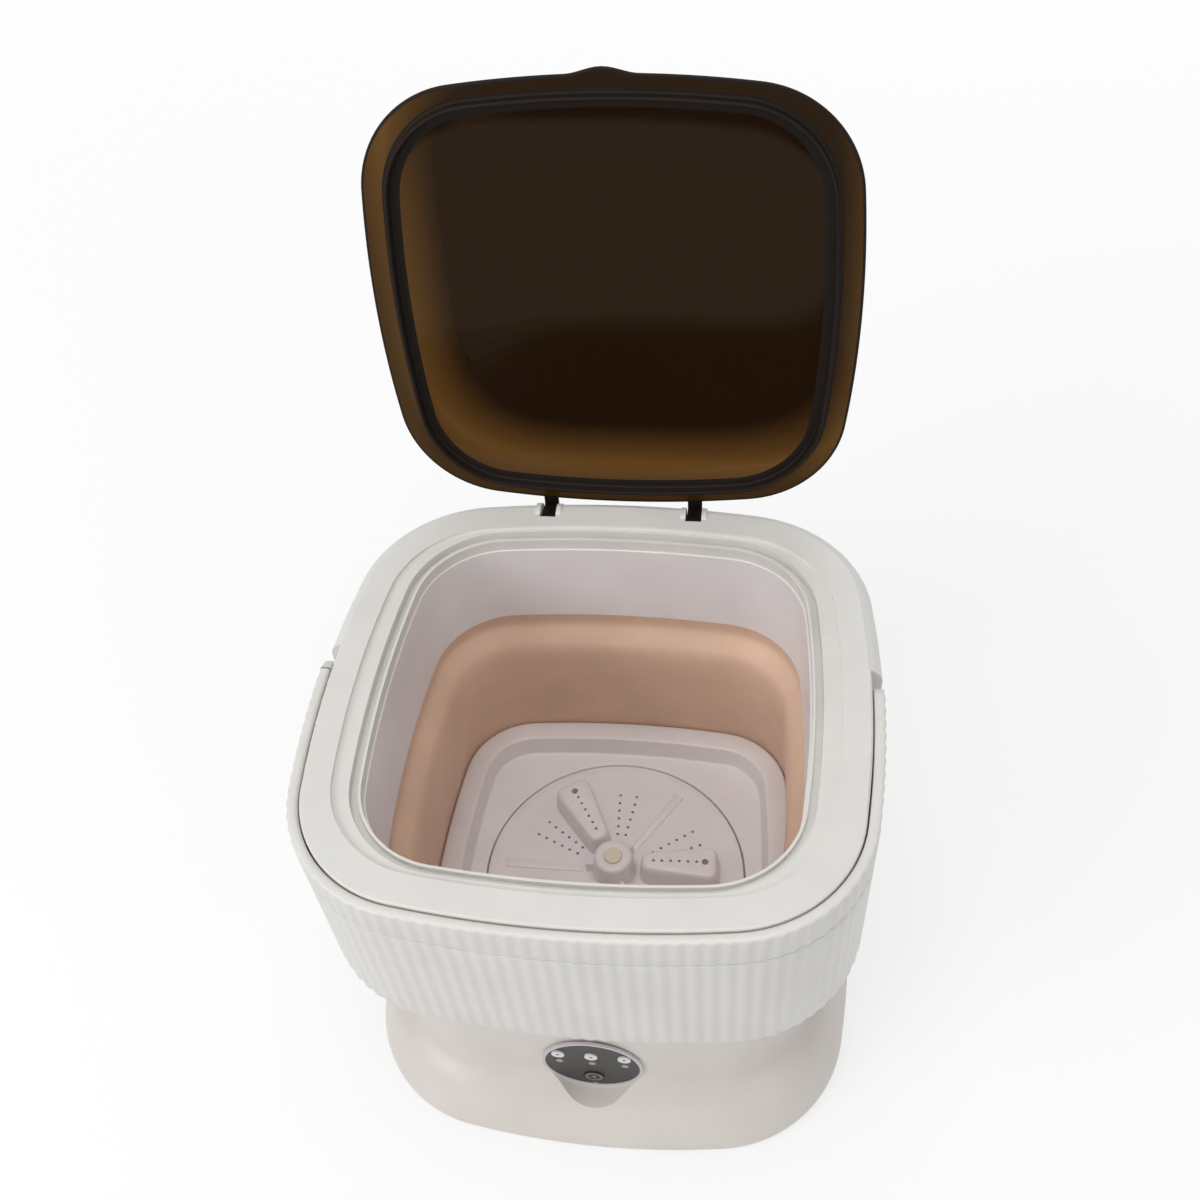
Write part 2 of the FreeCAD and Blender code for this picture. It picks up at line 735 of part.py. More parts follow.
def make_base_shell():
    wall = size("shell_wall")
    radius = size("panel_radius")
    height = PANEL_Z
    plate = size("panel_plate")
    outer = flare(flare_sections(as_size(0), size("base_lift"), BASE_TOP))
    outer_again = flare(flare_sections(as_size(0), size("base_lift"), BASE_TOP))
    inner = flare(flare_sections(wall, size("base_lift") - 1, BASE_TOP - wall))
    hollow = cut(outer, inner, prism(OPENING.inset(-1), BASE_TOP - 10, BASE_TOP + 1))
    ledge = prism(BASE.inset(30), TUB_FLANGE_BOTTOM - size("ledge_thickness"), TUB_FLANGE_BOTTOM,
                  inner=OPENING.inset(2))
    far = BASE.half_depth
    niche = common(outer_again, rod(radius + 2.5, far, 0, PANEL_FACE + plate - far, height, "Y"))
    bosses = [rod(4.5, 11, x, y, COVER_TOP) for x, y in COVER_SCREWS]
    body = cut(fuse(hollow, ledge, niche, *bosses), rod(radius, far, 0, PANEL_FACE - far, height, "Y"))
    back = BASE.half_depth - size("drain_flange_inset")
    cutters = [rod(SWITCH_ROOM, 6, x, PANEL_FACE - 1, z, "Y") for x, z in key_places().values()]
    cutters += [rod(size("window_radius"), 6, x, PANEL_FACE - 1, z, "Y") for x, z in window_places()]
    cutters += [rod(BOARD_SCREW, 6, x, PANEL_FACE + 0.6, z, "Y") for x, z in board_places()]
    cutters.append(block(BOARD_WIDTH + 2 * BOARD_ROOM, 12, BOARD_HEIGHT + 2 * BOARD_ROOM,
                         -BOARD_WIDTH / 2 - BOARD_ROOM, PANEL_FACE + plate, height - BOARD_DROP - BOARD_ROOM))
    body = cut(body, group(*cutters),
               holes(WALL_SCREWS, TUB_FLANGE_BOTTOM - 20, TUB_FLANGE_BOTTOM + 1, SMALL_SCREW),
               holes(COVER_SCREWS, COVER_TOP - 1, COVER_TOP + 9, SCREW),
               rod(size("drain_radius") + size("drain_wall"), LONG, DRAIN, back, size("drain_height"), "Y"),
               rod(size("inlet_radius"), LONG, -size("inlet_offset"), back, size("inlet_height"), "Y"))
    node("base_shell", body)


def key_places():
    height = PANEL_Z
    pitch = size("key_pitch")
    row = height + size("key_rise")
    return {"key_left": (-pitch, row), "key_middle": (as_size(0), row), "key_right": (pitch, row),
            "key_power": (as_size(0), height - size("power_key_drop"))}


def window_places():
    row = PANEL_Z + size("window_rise")
    return [(-size("key_pitch"), row), (as_size(0), row), (size("key_pitch"), row)]


def board_places():
    height = PANEL_Z
    return [(as_size(side * 14), height + rise) for side in (-1, 1) for rise in (-18, 4)]


def make_panel():
    radius = size("panel_radius")
    height = PANEL_Z
    inner = radius - size("bezel_width")
    bezel_depth = 1.6
    overlay_depth = 1.2
    slack = 0.1
    node("panel_bezel", tube(radius - slack, inner, bezel_depth, 0, PANEL_FACE - bezel_depth, height, "Y"))
    notches = [rod(1.6, overlay_depth + 2 * PAST, 0, PANEL_FACE - overlay_depth - PAST,
                   height + side * (inner - slack), "Y") for side in (-1, 1)]
    key_cuts = []
    for label, (x, z) in key_places().items():
        key_radius = size("power_key_radius") if label == "key_power" else size("key_radius")
        key_cuts.append(rod(key_radius + 0.25, 10, x, PANEL_FACE - 5, z, "Y"))
        stand = size("key_stand")
        travel = size("key_travel")
        cap = rod(key_radius, overlay_depth + stand - travel - slack, x, PANEL_FACE - overlay_depth - stand,
                  z, "Y")
        plunger = rod(1.5, 1, x, PANEL_FACE - travel - 0.6, z, "Y")
        node(label, fuse(cap, plunger))
    windows = []
    for x, z in window_places():
        key_cuts.append(rod(size("window_radius"), 10, x, PANEL_FACE - 5, z, "Y"))
        windows.append(rod(size("window_radius"), overlay_depth + size("panel_plate"), x,
                           PANEL_FACE - overlay_depth, z, "Y"))
    node("panel_overlay", cut(rod(inner - slack, overlay_depth, 0, PANEL_FACE - overlay_depth, height, "Y"),
                              *notches, *key_cuts))
    node("indicator_windows", group(*windows))


def make_control_board():
    face = PANEL_FACE + size("panel_plate")
    height = PANEL_Z
    board = block(BOARD_WIDTH, BOARD, BOARD_HEIGHT, -BOARD_WIDTH / 2, face, height - BOARD_DROP)
    drilled = cut(board, group(*[rod(BOARD_SCREW, 4, x, face - 1, z, "Y") for x, z in board_places()]))
    switch_face = PANEL_FACE + 1.1
    switches = [rod(SWITCH_ROOM - 0.4, face - switch_face, x, switch_face, z, "Y")
                for x, z in key_places().values()]
    socket = block(12, 7, 8, -6, face + BOARD, height - 22)
    node("control_board", fuse(drilled, *switches, socket))
    screws = []
    for x, z in board_places():
        shank = rod(BOARD_SCREW, BOARD + 2.2, x, face - 2.2, z, "Y")
        screws.append(fuse(shank, rod(2, 0.8, x, face + BOARD, z, "Y")))
    node("board_screws", group(*screws))


def make_tub_floor():
    rim = TUB_RIM
    wall = size("tub_wall")
    low = TUB_FLANGE_BOTTOM
    floor_bottom = TUB_FLOOR - wall
    outside = OPENING.inset(size("tub_wall_inset"))
    block_solid = prism(outside, floor_bottom, rim, round_top=size("tub_round"))
    flange = prism(WALL_FOOT, low, low + FLANGE)
    recess = flare([(OPENING.inset(size("tub_floor_inset")), TUB_FLOOR),
                    (OPENING.inset(size("tub_step_inset")), rim + 0.5)], ruled=True)
    hollow = prism(OPENING.inset(size("tub_wall_inset") + wall), floor_bottom - 1, rim - wall,
                   inner=OPENING.inset(size("tub_step_inset") - wall))
    well = rod(PULSATOR + size("pulsator_gap"), 30, 0, 0, WELL_FLOOR)
    well_cup = rod(PULSATOR + size("pulsator_gap") + wall, TUB_FLOOR - WELL_UNDERSIDE, 0, 0,
                   WELL_UNDERSIDE)
    boss = rod(size("bearing_boss_radius"), size("bearing_boss_length"), 0, 0,
               WELL_FLOOR - size("bearing_boss_length"))
    body = cut(fuse(cut(fuse(block_solid, flange), hollow), well_cup, boss), recess, well)
    boss_bottom = WELL_FLOOR - size("bearing_boss_length")
    top_bore = size("seal_height") + size("bearing_width")
    seats = [rod(size("bearing_radius"), top_bore, 0, 0, WELL_FLOOR - top_bore),
             rod(size("bearing_radius"), size("bearing_width"), 0, 0, boss_bottom),
             rod(size("bearing_radius") - 2, size("bearing_boss_length"), 0, 0, boss_bottom)]
    offset = DRAIN
    drain = rod(size("drain_radius") + size("drain_wall"), 20, offset, -offset, TUB_FLOOR - 10)
    motor_holes = [rod(SCREW, wall, x, y, WELL_UNDERSIDE - 1) for x, y in bracket_places()]
    node("tub_floor", cut(body, *seats, drain, *motor_holes,
                          holes(WALL_SCREWS, low - 1, low + FLANGE + 1, SMALL_SCREW)))


def make_pulsator():
    """Disc with a domed hub, three drafted vanes, three thin ribs and rows of drain holes."""
    radius = PULSATOR.value
    bottom = (TUB_FLOOR - size("pulsator_thickness")).value
    top = TUB_FLOOR.value
    hub = size("hub_radius").value
    crown = top + size("hub_height").value
    body = doc.addObject("PartDesign::Body", "pulsator")
    sketch = body.newObject("Sketcher::SketchObject", "profile")
    sketch.AttachmentSupport = [(plane(body, "XZ_Plane"), "")]
    sketch.MapMode = "FlatFace"
    outline_points = [(0, bottom), (radius, bottom), (radius, top), (hub + 2.5, top + 0.8), (hub, top + 4),
                      (hub - 1, crown - 2), (hub - 3, crown), (0, crown)]
    count = len(outline_points)
    for index, (x, z) in enumerate(outline_points):
        following = outline_points[(index + 1) % count]
        sketch.addGeometry(Part.LineSegment(Vector(x, z, 0), Vector(*following, 0)), False)
    sketch.addConstraint([Sketcher.Constraint("Coincident", i, 2, (i + 1) % count, 1) for i in range(count)])
    turn = body.newObject("PartDesign::Revolution", "disc")
    turn.Profile = sketch
    turn.ReferenceAxis = (sketch, ["V_Axis"])
    turn.Angle = 360
    doc.recompute()
    height = size("vane_height")
    vane = body.newObject("PartDesign::AdditiveLoft", "vane")
    lower = vane_sketch(body, TUB_FLOOR - 1, 0)
    upper = vane_sketch(body, TUB_FLOOR + height, 3.2)
    vane.Profile = lower
    vane.Sections = [upper]
    doc.recompute()
    vanes = body.newObject("PartDesign::PolarPattern", "vanes")
    vanes.Originals = [vane]
    vanes.Axis = (plane(body, "Z_Axis"), [""])
    vanes.Angle = 360
    vanes.Occurrences = 3
    body.Tip = vanes
    ribs = []
    rows = []
    for turn_index in range(3):
        angle = VANE_ANGLE + 120 * turn_index
        ribs.append(turned_block(RIB_LENGTH, RIB_WIDTH, RIB_HEIGHT + PAST, RIB_START, TUB_FLOOR - PAST,
                                 angle + 56))
        for spread in ROW_SPREADS:
            for step in range(6):
                reach = RIB_START + 9 + step * HOLE_PITCH
                turned = math.radians(angle + 56 + spread)
                rows.append(rod(HOLE_RADIUS, 20, reach * math.cos(turned), reach * math.sin(turned),
                                TUB_FLOOR - 10))
        vane_turn = math.radians(angle)
        for step in range(5):
            reach = RIB_START + 8 + step * HOLE_PITCH
            rows.append(rod(HOLE_RADIUS, 60, reach * math.cos(vane_turn), reach * math.sin(vane_turn),
                            TUB_FLOOR - 10))
        reach = VANE_INNER + size("vane_length").value - 9
        rows.append(rod(2.2, 60, reach * math.cos(vane_turn), reach * math.sin(vane_turn), TUB_FLOOR - 10))
    boss = rod(8, size("pulsator_lift") + size("pulsator_thickness") - 1.4, 0, 0, WELL_FLOOR + 0.4)
    shaft_hole = rod(size("shaft_radius"), size("hub_height") + 1, 0, 0, WELL_FLOOR - 5)
    screw_hole = rod(2, 60, 0, 0, WELL_FLOOR)
    cap_seat = rod(CAP_RADIUS, 20, 0, 0, TUB_FLOOR + size("hub_height") - CAP_DEPTH)
    lugs = [turned_block(4, 5, 4, hub - 2, TUB_FLOOR + 2, 60 + 120 * index) for index in range(3)]
    drilled = cut(fuse(body, *ribs, *lugs), group(*rows))
    node("pulsator", cut(fuse(drilled, boss), shaft_hole, screw_hole, cap_seat))


def turned_block(length, width, height, start, bottom, angle):
    """Radial bar at an angle about the tub's axis."""
    turned = math.radians(angle)
    item = doc.addObject("Part::Box", "bar")
    bind(item, "Length", length)
    bind(item, "Width", width)
    bind(item, "Height", height)
    side = width / 2
    item.Placement.Rotation = FreeCAD.Rotation(Vector(0, 0, 1), angle)
    move(item, start * math.cos(turned) + side * math.sin(turned),
         start * math.sin(turned) - side * math.cos(turned), bottom)
    return item


def vane_sketch(body, level, inset):
    """Vane section: narrow by the hub and wide at its outer end."""
    sketch = level_sketch(body, level)
    inner = VANE_INNER - 6
    outer = VANE_INNER + size("vane_length").value - inset
    narrow = 7 - inset * 0.7
    wide = 13 - inset
    corners = [(inner, -narrow), (outer - 5, -wide), (outer, -wide + 5), (outer, wide - 5), (outer - 5, wide),
               (inner, narrow)]
    turned = math.radians(VANE_ANGLE)
    points = [Vector(x * math.cos(turned) - y * math.sin(turned),
                     x * math.sin(turned) + y * math.cos(turned), 0) for x, y in corners]
    for index, point in enumerate(points):
        sketch.addGeometry(Part.LineSegment(point, points[(index + 1) % len(points)]), False)
    sketch.addConstraint([Sketcher.Constraint("Coincident", i, 2, (i + 1) % len(points), 1)
                          for i in range(len(points))])
    return sketch


def make_drive():
    shaft = size("shaft_radius")
    boss_bottom = WELL_FLOOR - size("bearing_boss_length")
    width = size("bearing_width")
    shaft_top = WELL_FLOOR - 5 + size("hub_height")
    pulley = size("pulley_width")
    node("pulsator_cap", rod(CAP_RADIUS, 3.4, 0, 0, TUB_FLOOR + size("hub_height") - 3))
    screw_seat = TUB_FLOOR + size("hub_height") - CAP_DEPTH
    node("pulsator_screw", fuse(rod(2, 12, 0, 0, screw_seat - 12), rod(4, 3, 0, 0, screw_seat)))
    nut_height = 5
    axle = cut(rod(shaft, shaft_top - PULLEY_BOTTOM + nut_height, 0, 0, PULLEY_BOTTOM - nut_height),
               rod(2, 20, 0, 0, screw_seat - 12))
    node("drive_shaft", axle)
    upper_seat = WELL_FLOOR - size("seal_height") - width
    node("upper_bearing", tube(size("bearing_radius"), shaft + GAP, width, 0, 0, upper_seat))
    node("lower_bearing", tube(size("bearing_radius"), shaft + GAP, width, 0, 0, boss_bottom))
    node("shaft_seal", tube(size("bearing_radius"), shaft + GAP, size("seal_height"), 0, 0,
                            WELL_FLOOR - size("seal_height")))
    node("driven_pulley", grooved_pulley(size("driven_radius"), shaft, PULLEY_BOTTOM, pulley, 0))
    node("pulley_nut", tube(7, shaft, nut_height, 0, 0, PULLEY_BOTTOM - nut_height))
    distance = size("motor_distance")
    small = size("motor_pulley_radius")
    motor_shaft = 2.5
    node("motor_pulley", grooved_pulley(small, as_size(motor_shaft), PULLEY_BOTTOM, pulley, distance))
    node("motor_shaft", rod(motor_shaft, MOTOR_BOTTOM + 6 - PULLEY_BOTTOM, 0, distance, PULLEY_BOTTOM))
    can = cut(fuse(rod(size("motor_radius"), size("motor_length"), 0, distance, MOTOR_BOTTOM),
                   rod(9, FLANGE, 0, distance, BRACKET_BOTTOM)),
              rod(motor_shaft + GAP, 8 + FLANGE, 0, distance, BRACKET_BOTTOM - 1),
              holes(motor_screw_places(), MOTOR_BOTTOM - 1, MOTOR_BOTTOM + 6, SCREW))
    node("motor", can)
    columns = [rod(4, WELL_UNDERSIDE - MOTOR_BOTTOM, x, y, MOTOR_BOTTOM) for x, y in bracket_places()]
    plate = block(66, 50, FLANGE, -33, distance - 26, BRACKET_BOTTOM)
    node("motor_bracket", cut(fuse(plate, *columns), rod(9, 20, 0, distance, BRACKET_BOTTOM - 5),
                              holes(bracket_places(), BRACKET_BOTTOM - 1, WELL_UNDERSIDE + 1, SCREW),
                              holes(motor_screw_places(), BRACKET_BOTTOM - 1, MOTOR_BOTTOM + 1, SCREW)))
    screw_row("bracket_screws", bracket_places(), BRACKET_BOTTOM, WELL_UNDERSIDE + 2)
    screw_row("motor_screws", motor_screw_places(), BRACKET_BOTTOM, MOTOR_BOTTOM + 5)
    make_belt(PULLEY_BOTTOM + (pulley - size("belt_width")) / 2)


def bracket_places():
    distance = size("motor_distance").value
    return [(side * 28, distance + along) for side in (-1, 1) for along in (-17, 11)]


def motor_screw_places():
    distance = size("motor_distance").value
    return [(side * 14.5, distance) for side in (-1, 1)]


def grooved_pulley(radius, bore, bottom, width, distance):
    """Flat-grooved pulley with two rims."""
    belt_seat = size("belt_width") + 0.4
    groove = cut(rod(radius + 1, belt_seat, 0, distance, bottom + (width - belt_seat) / 2),
                 rod(radius - size("belt_thickness") - GAP, belt_seat, 0, distance,
                     bottom + (width - belt_seat) / 2))
    return cut(rod(radius, width, 0, distance, bottom), groove, rod(bore, width, 0, distance, bottom))


def make_belt(bottom):
    """Flat belt round both pulleys: two arcs and two tangent runs, inside and outside."""
    thickness = size("belt_thickness").value
    distance = size("motor_distance").value
    loops = []
    for grow in (0, thickness):
        large = size("driven_radius").value - thickness + grow
        small = size("motor_pulley_radius").value - thickness + grow
        lean = math.asin((large - small) / distance)
        side = Vector(math.cos(lean), math.sin(lean), 0)
        far = Vector(0, distance, 0)
        mirrored = Vector(-side.x, side.y, 0)
        edges = [Part.LineSegment(side * large, far + side * small).toShape(),
                 Part.Arc(far + side * small, far + Vector(0, small, 0), far + mirrored * small).toShape(),
                 Part.LineSegment(far + mirrored * small, mirrored * large).toShape(),
                 Part.Arc(mirrored * large, Vector(0, -large, 0), side * large).toShape()]
        loops.append(Part.Face(Part.Wire(edges)))
    belt = doc.addObject("Part::Feature", "belt")
    belt.Shape = loops[1].cut(loops[0]).extrude(Vector(0, 0, size("belt_width").value))
    belt.Placement.Base.z = bottom.value
    node("drive_belt", belt)


def make_bottom():
    cover = prism(BASE.inset(size("cover_inset")), COVER_BOTTOM, COVER_TOP)
    head_bottom = COVER_BOTTOM + 1
    shanks = holes(COVER_SCREWS, COVER_BOTTOM - PAST, COVER_TOP + PAST, SCREW)
    heads = holes(COVER_SCREWS, COVER_BOTTOM - PAST, head_bottom, size("screw_head_radius"))
    stems = holes(foot_places(), COVER_BOTTOM - PAST, COVER_TOP + PAST, as_size(3))
    node("bottom_cover", cut(cover, shanks, heads, stems))
    screw_row("cover_screws", COVER_SCREWS, head_bottom, COVER_TOP + 8)
    feet = []
    for x, y in foot_places():
        pad = taper(8.5, 9.5, COVER_BOTTOM, x, y, 0)
        feet.append(fuse(pad, rod(3, FLANGE, x, y, COVER_BOTTOM)))
    node("rubber_feet", group(*feet))


def foot_places():
    across = (BASE.half_width - 50).value
    along = (BASE.half_depth - 50).value
    return [(side * across, end * along) for side in (-1, 1) for end in (-1, 1)] + [(0, 0)]


def make_drain():
    offset = DRAIN
    radius = size("drain_radius")
    height = size("drain_height")
    top = TUB_FLOOR
    flange = rod(radius + 4, 1.5, offset, -offset, top)
    drop = rod(radius + size("drain_wall"), top - height + 12, offset, -offset, height - 12)
    turn = rod(radius + 1, 13, offset, -offset, height, "Y")
    bores = [rod(radius, 60, offset, -offset, height - 10), rod(radius - 1, 60, offset, -offset, height, "Y")]
    node("drain_elbow", cut(fuse(flange, drop, turn), *bores))
    hose_start = -offset + 13
    spigot_start = BASE.half_depth - size("drain_flange_inset") - 4
    outer = radius + size("drain_wall")
    node("drain_hose", tube(outer, radius, spigot_start - hose_start, offset, hose_start, height, "Y"))
    tail_start = BASE.half_depth - size("drain_tail_inset")
    outlet = fuse(rod(outer, tail_start - spigot_start, offset, spigot_start, height, "Y"),
                  rod(radius + 6, 2.5, offset, BASE.half_depth - size("drain_flange_inset"), height, "Y"),
                  rod(radius + 1.2, size("drain_tail_length"), offset, tail_start, height, "Y"))
    node("drain_outlet", cut(outlet, rod(radius, 60, offset, spigot_start - 5, height, "Y")))
    plug = fuse(rod(radius - 0.3, 8, offset, -offset, top - 6.2),
                rod(radius + 3.5, 2.4, offset, -offset, top + 1.8),
                tube(4.5, 2.5, 3, offset - 1.5, -offset, top + 7.6, "X"))
    node("drain_plug", plug)


def make_power_inlet():
    offset = -size("inlet_offset")
    height = size("inlet_height")
    face = BASE.half_depth - 10
    length = size("inlet_length")
    body = fuse(rod(size("inlet_radius"), length, offset, face - length, height, "Y"),
                rod(8, 2.2, offset, face - 14.6, height, "Y"))
    bore = rod(size("inlet_bore"), 9, offset, face - 9, height, "Y")
    node("power_inlet", fuse(cut(body, bore), rod(size("inlet_contact"), 8, offset, face - 9.5, height, "Y")))


def make_lid():
    """Lid drawn closed on the rim, then opened about its hinge axis."""
    under = RIM_TOP + size("lid_gap")
    wall = size("lid_wall")
    rise = size("lid_rise")
    edge = prism(LID, under, under + wall, round_top=size("edge_round"))
    crown = [(6, -0.5), (14, rise * 0.4), (28, rise * 0.8), (46, rise)]
    dome = flare([(LID.inset(inset), under + wall + lift) for inset, lift in crown], ruled=True)
    hollow = flare([(LID.inset(inset + 8.5), under + lift) for inset, lift in crown], ruled=True)
    rib = prism(LID_RIB_OUTER, under - size("lid_rib_height"), under + 1, inner=LID_RIB_INNER)
    tab_y = size("tab_radius") - LID.half_depth - size("tab_reach")
    tab = rod(size("tab_radius"), wall, 0, tab_y, under)
    pieces = []
    bores = []
    lug = size("lug_width")
    pin = size("hinge_pin_radius")
    for middle in hinge_sides():
        left = middle - lug / 2
        tongue_start = LID.half_depth - 4
        pieces.append(block(lug, HINGE_Y + 3.5 - tongue_start, wall, left, tongue_start, under))
        pieces.append(block(lug, 8, under + wall - HINGE_Z, left, HINGE_Y - 4.5, HINGE_Z))
        pieces.append(rod(size("knuckle_radius"), lug, left, HINGE_Y, HINGE_Z, "X"))
        bores.append(rod(pin + GAP, lug + 2, left - 1, HINGE_Y, HINGE_Z, "X"))
    closed = cut(fuse(cut(fuse(edge, dome, tab), hollow), rib, *pieces), *bores)
    turn = FreeCAD.Rotation(Vector(1, 0, 0), -size("lid_open_angle").value)
    pivot = Vector(0, HINGE_Y.value, HINGE_Z.value)
    closed.Placement = FreeCAD.Placement(Vector(), turn, pivot)
    node("lid", closed)


def check_document():
    doc.recompute()
    faults = [item.Label for item in doc.Objects if "Invalid" in item.State or "Error" in item.State]
    for label, item in nodes.items():
        if item.Shape.isNull() or not item.Shape.isValid() or not item.Shape.Solids:
            faults.append(f"{label} shape")
    if faults:
        raise RuntimeError("failed objects: " + ", ".join(faults))


def main():
    make_top_rim()
    make_hinge_pins()
    make_ribbed_band()
    make_carry_handle()
    make_inner_collar()
    make_upper_clamp()
    make_folding_wall()
    make_lower_clamp()
    make_base_shell()
    make_panel()
    make_control_board()
    make_tub_floor()
    make_pulsator()
    make_drive()
    make_bottom()
    make_drain()
    make_power_inlet()
    make_lid()
    check_document()
    os.makedirs("parts", exist_ok=True)
    for label, item in nodes.items():
        item.Shape.exportStep(f"parts/{label}.step")
        solids = len(item.Shape.Solids)
        print(f"{label}: {solids} solids, {item.Shape.Volume / 1000:.1f} cm3")


main()
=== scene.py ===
"""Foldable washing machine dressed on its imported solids, standing open with the lid up. Metres."""

import json
import math

import bmesh
import bpy
from mathutils import Matrix, Vector


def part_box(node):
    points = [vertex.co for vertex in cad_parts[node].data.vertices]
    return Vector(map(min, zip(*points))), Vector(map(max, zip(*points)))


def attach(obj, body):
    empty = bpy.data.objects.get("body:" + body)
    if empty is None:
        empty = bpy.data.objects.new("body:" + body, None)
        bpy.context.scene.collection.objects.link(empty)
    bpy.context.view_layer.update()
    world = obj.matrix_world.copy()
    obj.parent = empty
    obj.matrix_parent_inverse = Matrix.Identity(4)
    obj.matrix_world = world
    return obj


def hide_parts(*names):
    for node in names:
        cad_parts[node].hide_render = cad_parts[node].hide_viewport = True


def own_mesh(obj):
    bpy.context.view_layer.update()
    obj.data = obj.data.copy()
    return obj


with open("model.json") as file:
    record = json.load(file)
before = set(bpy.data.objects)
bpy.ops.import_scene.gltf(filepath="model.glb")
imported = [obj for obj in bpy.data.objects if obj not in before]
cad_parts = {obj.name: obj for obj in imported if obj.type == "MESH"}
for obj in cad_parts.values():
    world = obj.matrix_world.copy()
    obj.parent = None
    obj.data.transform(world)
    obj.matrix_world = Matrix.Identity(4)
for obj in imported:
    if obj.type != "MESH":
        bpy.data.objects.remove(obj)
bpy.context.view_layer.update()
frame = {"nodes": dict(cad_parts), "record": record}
scene = bpy.context.scene
nodes = frame["nodes"]
MM = 0.001

# Outlines seen from above: half width, half depth, side radius, corner radius, in millimetres
UPPER = (156, 149.5, 610, 78)
OPENING = (118, 116, 650, 51)
LID = (136, 129.5, 640, 62)

# Levels, in millimetres above the floor
RIM_TOP = 268
PARTING = 245
COLLAR_BOTTOM = 197
BAND_BOTTOM = 156
TUB_RIM = 85
WALL_FOOT = 78
TUB_FLOOR = 71
WELL_FLOOR = 66
LID_UNDER = 268.4

# Lid hinge: its axis, the distance between its lugs, and the angle in degrees at which the lid stands open
HINGE_Y = 138
HINGE_Z = 259
HINGE_SPREAD = 90
LID_OPEN = 97

# Lugs of the lid: half width, radius round the pin, front end, and how much their edges are taken in
LUG_HALF = 4.4
LUG_KNUCKLE = 5.0
LUG_FRONT = 124
LUG_EDGE = 0.6

# Finger tab of the lid: half width, where it starts in front of the middle, and how far it stands out
TAB_HALF = 19
TAB_FRONT = 121
TAB_REACH = 3.2

# Smoked lid's painted edge glow: where the lid is darkest when closed, in millimetres, and how far its dark
# part reaches before the painted amber glow, in metres
PAINTED_GLOW_MIDDLE = (14, -30)
PAINTED_GLOW_REACH = 0.15

# Ribs of the band and the handle: how many, how deep, and the mesh steps over each
RIBS = 130
RIB_DEPTH = 0.6
RIB_STEPS = 10

# Handle: wall, half height and the place of its pivots
HANDLE_WALL = 6
HANDLE_HALF = 11.25
HANDLE_PIVOT_Y = 4

# Pulsator: radius, hub, vanes, ribs and rows of drain holes, the last three placed by angles in degrees
PULSATOR = 84.5
HUB = 13.5
HUB_TOP = TUB_FLOOR + 21.5
VANE_TOP = TUB_FLOOR + 17
VANE_ANGLE = 2.5
RIB_ANGLE = 56
ROW_SPREADS = (-34, -23, 23, 34)
ROW_HOLES = 6
SMALL_HOLE = 0.95
LARGE_HOLE = 2.2
DISC_SIDES = 144

# Points round each skinned outline, and the shares of an outline that close a lid face towards its middle
AROUND = 320
INNER_SHARES = (0.12, 0.4, 0.7)

# Floor and surround: sizes in metres, and brightness where seen and where only lighting the object
FLOOR_RADIUS = 9
FLOOR_DROP = 0.0002
FLOOR_LIT = 0.75
FLOOR_SEEN = 0.34
GLOW_NEAR = 0.3
GLOW_FAR = 2.6
GLOW_LOW = 0.67
GLOW_HIGH = 0.84
SURROUND_LIT = 0.42
SURROUND_SEEN = 1.0
LAMPS = (("key_lamp", (-1.45, -1.2, 1.3), 1.2, 17),
         ("overhead_lamp", (-0.05, -0.2, 2.0), 0.9, 10),
         ("back_lamp", (0.3, 1.5, 1.5), 1.2, 3),
         ("side_lamp", (1.5, -1.0, 0.8), 1.2, 4))
LAMP_TARGET = Vector((0, 0, 0.2))


def outline_point(outline, inset, share):
    """Point and outward normal at a share of the way round a rounded square, from its right side on."""
    a, b, side, corner = (value - inset for value in outline)
    right = Vector((a - side, 0))
    back = Vector((0, b - side))
    across = back - right
    normal = Vector((-across.y, across.x)).normalized()
    reach = math.sqrt((side - corner) ** 2 - across.length_squared / 4)
    middle = (right + back) / 2
    centre = max((middle + normal * reach, middle - normal * reach), key=lambda p: p.x + p.y)
    low = math.atan2(centre.y, centre.x - right.x)
    high = math.atan2(centre.y - back.y, centre.x)
    half = math.pi
    arcs = [(right, side, -low, low), (centre, corner, low, high), (back, side, high, half - high),
            (Vector((-centre.x, centre.y)), corner, half - high, half - low),
            (-right, side, half - low, half + low), (-centre, corner, half + low, half + high),
            (-back, side, half + high, 2 * half - high),
            (Vector((centre.x, -centre.y)), corner, 2 * half - high, 2 * half - low)]
    lengths = [radius * (end - start) for _, radius, start, end in arcs]
    travel = (share % 1) * sum(lengths) + lengths[0] / 2
    for (middle, radius, start, _), length in zip(arcs + arcs[:1], lengths + lengths[:1]):
        if travel <= length:
            angle = start + travel / radius
            outward = Vector((math.cos(angle), math.sin(angle)))
            return middle + outward * radius, outward
        travel -= length


def ring(outline, inset, level, count=AROUND):
    """Points of one outline at a level, in metres."""
    points = []
    for index in range(count):
        point, _ = outline_point(outline, inset, index / count)
        points.append(Vector((point.x, point.y, level)) * MM)
    return points


def rounded(profile, radius, steps):
    """Closed profile of (inset, level) pairs with its corners rounded, in millimetres."""
    result = []
    count = len(profile)
    for index in range(count):
        before = Vector(profile[index - 1])
        here = Vector(profile[index])
        after = Vector(profile[(index + 1) % count])
        room = min(radius, (before - here).length * 0.45, (after - here).length * 0.45)
        start = here + (before - here).normalized() * room
        end = here + (after - here).normalized() * room
        for step in range(steps + 1):
            share = step / steps
            result.append(start.lerp(here, share).lerp(here.lerp(end, share), share))
    return result


